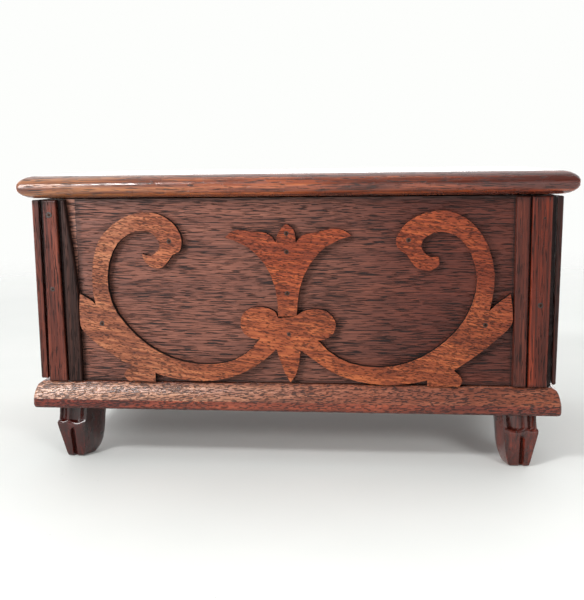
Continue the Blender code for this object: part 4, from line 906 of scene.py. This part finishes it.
def build_studs(materials):
    """The stop lever's shouldered stud, the governor's end stone, and the winding arbor's nut."""
    bm = bmesh.new()
    stud_x, stud_y = 90.0, -50.0
    lathe(bm, ((3.2 * MM, -0.05 * MM), (3.2 * MM, 3.8 * MM), (1.4 * MM, 3.8 * MM), (1.4 * MM, 6.1 * MM)),
          facing_up(stud_x, stud_y, BED_TOP))
    add_screw(bm, facing_up(stud_x, stud_y, 74.5), 2.7, 1.1, 1.0)
    new_piece("stop_lever_stud", bm, [materials["steel"], materials["pin_stain"]], "case")
    bm = bmesh.new()
    lathe(bm, ((2.3 * MM, -0.02 * MM), (2.3 * MM, 0.5 * MM), (1.7 * MM, 0.9 * MM), (0.6 * MM, 1.1 * MM),
               (0.0, 0.9 * MM)), facing_up(82.0, -24.421, 117.6))
    new_piece("governor_cap", bm, [materials["steel"]], "case")
    bm = bmesh.new()
    lathe(bm, ((4.4 * MM, 0.0), (4.4 * MM, 1.3 * MM), (3.8 * MM, 1.7 * MM), (3.1 * MM, 1.8 * MM)),
          facing_left(-111.0, AXIS_Y, AXIS_Z), segments=6)
    new_piece("winding_nut", bm, [materials["steel"]], "case")


def build_details(materials):
    build_pins(materials)
    build_cylinder_pins(materials)
    build_screws(materials)
    build_card_tacks(materials)
    build_comb_weights(materials)
    build_click_parts(materials)
    build_studs(materials)


# ---------------------------------------------------------------- camera, floor and light

CAMERA_PLACE = (0.05026, -0.53217, 0.15997)
CAMERA_ANGLES = (6.275, 8.949, 0.752)  # to the left, downwards and clockwise, in degrees


def make_camera():
    """The view from the front, a little right of the middle and above the box, looking slightly down."""
    yaw, pitch, roll = (math.radians(angle) for angle in CAMERA_ANGLES)
    forward = Vector((-math.sin(yaw) * math.cos(pitch), math.cos(yaw) * math.cos(pitch), -math.sin(pitch)))
    right = Vector((math.cos(yaw), math.sin(yaw), 0.0))
    down = forward.cross(right)
    rolled_right = math.cos(roll) * right + math.sin(roll) * down
    rolled_down = -math.sin(roll) * right + math.cos(roll) * down
    axes = Matrix((rolled_right, -rolled_down, -forward)).transposed()
    data = bpy.data.cameras.new("camera")
    data.lens = 54.0
    data.sensor_width = 36.0
    data.clip_start = 0.01
    data.clip_end = 100.0
    camera = bpy.data.objects.new("camera", data)
    camera.matrix_world = Matrix.Translation(CAMERA_PLACE) @ axes.to_4x4()
    bpy.context.scene.collection.objects.link(camera)
    bpy.context.scene.camera = camera


FLOOR_RINGS = (0.35, 0.8, 1.6, 3.2, 6.0)
FLOOR_SIDES = 24
FLOOR_FADE = (0.35, 1.1)  # how far from the box the floor starts to fade out, and where it has gone


def make_floor():
    """A pale floor that fades out far from the object, so that no horizon shows."""
    bm = bmesh.new()
    middle = bm.verts.new((0.0, 0.0, 0.0))
    last = None
    for radius in FLOOR_RINGS:
        angles = [2 * math.pi * side / FLOOR_SIDES for side in range(FLOOR_SIDES)]
        ring = [bm.verts.new((radius * math.cos(angle), radius * math.sin(angle), 0.0)) for angle in angles]
        for side in range(FLOOR_SIDES):
            after = (side + 1) % FLOOR_SIDES
            inward = (middle,) if last is None else (last[after], last[side])
            bm.faces.new((ring[side], ring[after], *inward))
        last = ring
    mesh = bpy.data.meshes.new("floor")
    bmesh.ops.recalc_face_normals(bm, faces=bm.faces)
    bm.to_mesh(mesh)
    bm.free()
    floor = bpy.data.objects.new("floor", mesh)
    floor.location = (0.0, 0.0, -0.0002)
    bpy.context.scene.collection.objects.link(floor)
    shader = Shader("floor_paper", roughness=0.7)
    place = shader.place()
    cloud = shader.noise(place, scale=9.0, detail=3.0)
    speck = shader.noise(place, scale=420.0, detail=1.0)
    colour = shader.ramp(cloud, (0.3, tone(233, 236, 233)), (0.7, tone(238, 240, 237)))
    colour = shader.mix(shader.range(speck, 0.80, 0.84, 0.0, 0.35), colour, tone(120, 118, 110))
    shader.finish(colour, None, shader.bump(cloud, 0.0004))
    length = shader.add("ShaderNodeVectorMath", operation="LENGTH")
    shader.put(place, length.inputs[0])
    fade = shader.range(length.outputs["Value"], FLOOR_FADE[0], FLOOR_FADE[1])
    clear = shader.add("ShaderNodeBsdfTransparent")
    joined = shader.add("ShaderNodeMixShader")
    shader.put(fade, joined.inputs[0])
    shader.put(shader.surface.outputs[0], joined.inputs[1])
    shader.put(clear.outputs[0], joined.inputs[2])
    shader.put(joined.outputs[0], shader.output.inputs["Surface"])
    mesh.materials.append(shader.material)
    return floor


# How bright the surroundings are, by direction.
FRONT_FADE = (-0.50, 0.05)  # the front goes from bright to dim between these x of the direction
FRONT_LEFT = 0.62
FRONT_RIGHT = 0.16
BACK = 1.05
BACK_BAND = 3.0  # low down, added all round
FRONT_BAND = 1.0
ABOVE = 0.30  # high up, added all round


def make_world():
    """White surroundings to look at. The light itself comes from the left and behind, and is dim on the
    front right; a bright band low down behind the box reaches in under it."""
    world = bpy.data.worlds.new("studio")
    bpy.context.scene.world = world
    world.use_nodes = True
    sky = Nodes(world.node_tree)
    x, y, z = sky.split(sky.add("ShaderNodeTexCoord").outputs["Generated"])
    front = sky.range(x, *FRONT_FADE, FRONT_LEFT, FRONT_RIGHT)
    behind = sky.range(y, -0.15, 0.45)
    low = sky.range(z, 0.02, 0.30, sky.range(behind, 0.0, 1.0, FRONT_BAND, BACK_BAND), 0.0)
    high = sky.range(z, 0.30, 0.85, 0.0, ABOVE)
    rest = sky.range(behind, 0.0, 1.0, front, BACK)
    lighting = sky.add("ShaderNodeBackground")
    lighting.inputs["Color"].default_value = (1.0, 1.0, 1.0, 1.0)
    sky.put(sky.math("ADD", sky.math("ADD", rest, low), high), lighting.inputs["Strength"])
    seen = sky.add("ShaderNodeBackground")
    seen.inputs["Color"].default_value = tone(253, 254, 252)
    chosen = sky.add("ShaderNodeMixShader")
    sky.put(sky.add("ShaderNodeLightPath").outputs["Is Camera Ray"], chosen.inputs[0])
    sky.put(lighting.outputs[0], chosen.inputs[1])
    sky.put(seen.outputs[0], chosen.inputs[2])
    sky.put(chosen.outputs[0], sky.add("ShaderNodeOutputWorld").inputs["Surface"])


def make_lamp(name, place, target, size, watts):
    """A soft rectangular studio lamp aimed at a point."""
    data = bpy.data.lights.new(name, "AREA")
    data.shape = "RECTANGLE"
    data.size, data.size_y = size
    data.energy = watts
    lamp = bpy.data.objects.new(name, data)
    lamp.location = place
    aim = Vector(target) - Vector(place)
    lamp.rotation_mode = "QUATERNION"
    lamp.rotation_quaternion = aim.to_track_quat("-Z", "Y")
    bpy.context.scene.collection.objects.link(lamp)
    return lamp


def make_lights(floor):
    """A window high on the left, a near soft lamp on the left that is flagged off the floor, and a low
    lamp in front that lights the floor alone and reaches in under the box."""
    make_lamp("key", (-0.42, -0.76, 0.76), (-0.05, -0.05, 0.08), (0.15, 0.15), 4.9)
    side = make_lamp("side", (-0.36, -0.42, 0.24), (-0.05, -0.05, 0.08), (0.18, 0.18), 1.75)
    low = make_lamp("low", (0.55, -0.85, 0.42), (0.05, -0.05, 0.0), (0.30, 0.16), 4.3)
    for lamp, state in ((side, "EXCLUDE"), (low, "INCLUDE")):
        receivers = bpy.data.collections.new("floor_for_" + lamp.name)
        receivers.objects.link(floor)
        receivers.collection_objects[0].light_linking.link_state = state
        lamp.light_linking.receiver_collection = receivers


def build_scene():
    scene = bpy.context.scene
    scene.view_settings.view_transform = "Standard"
    scene.view_settings.look = "None"
    make_camera()
    make_lights(make_floor())
    make_world()
    materials = all_materials()
    dress(materials)
    build_details(materials)


build_scene()
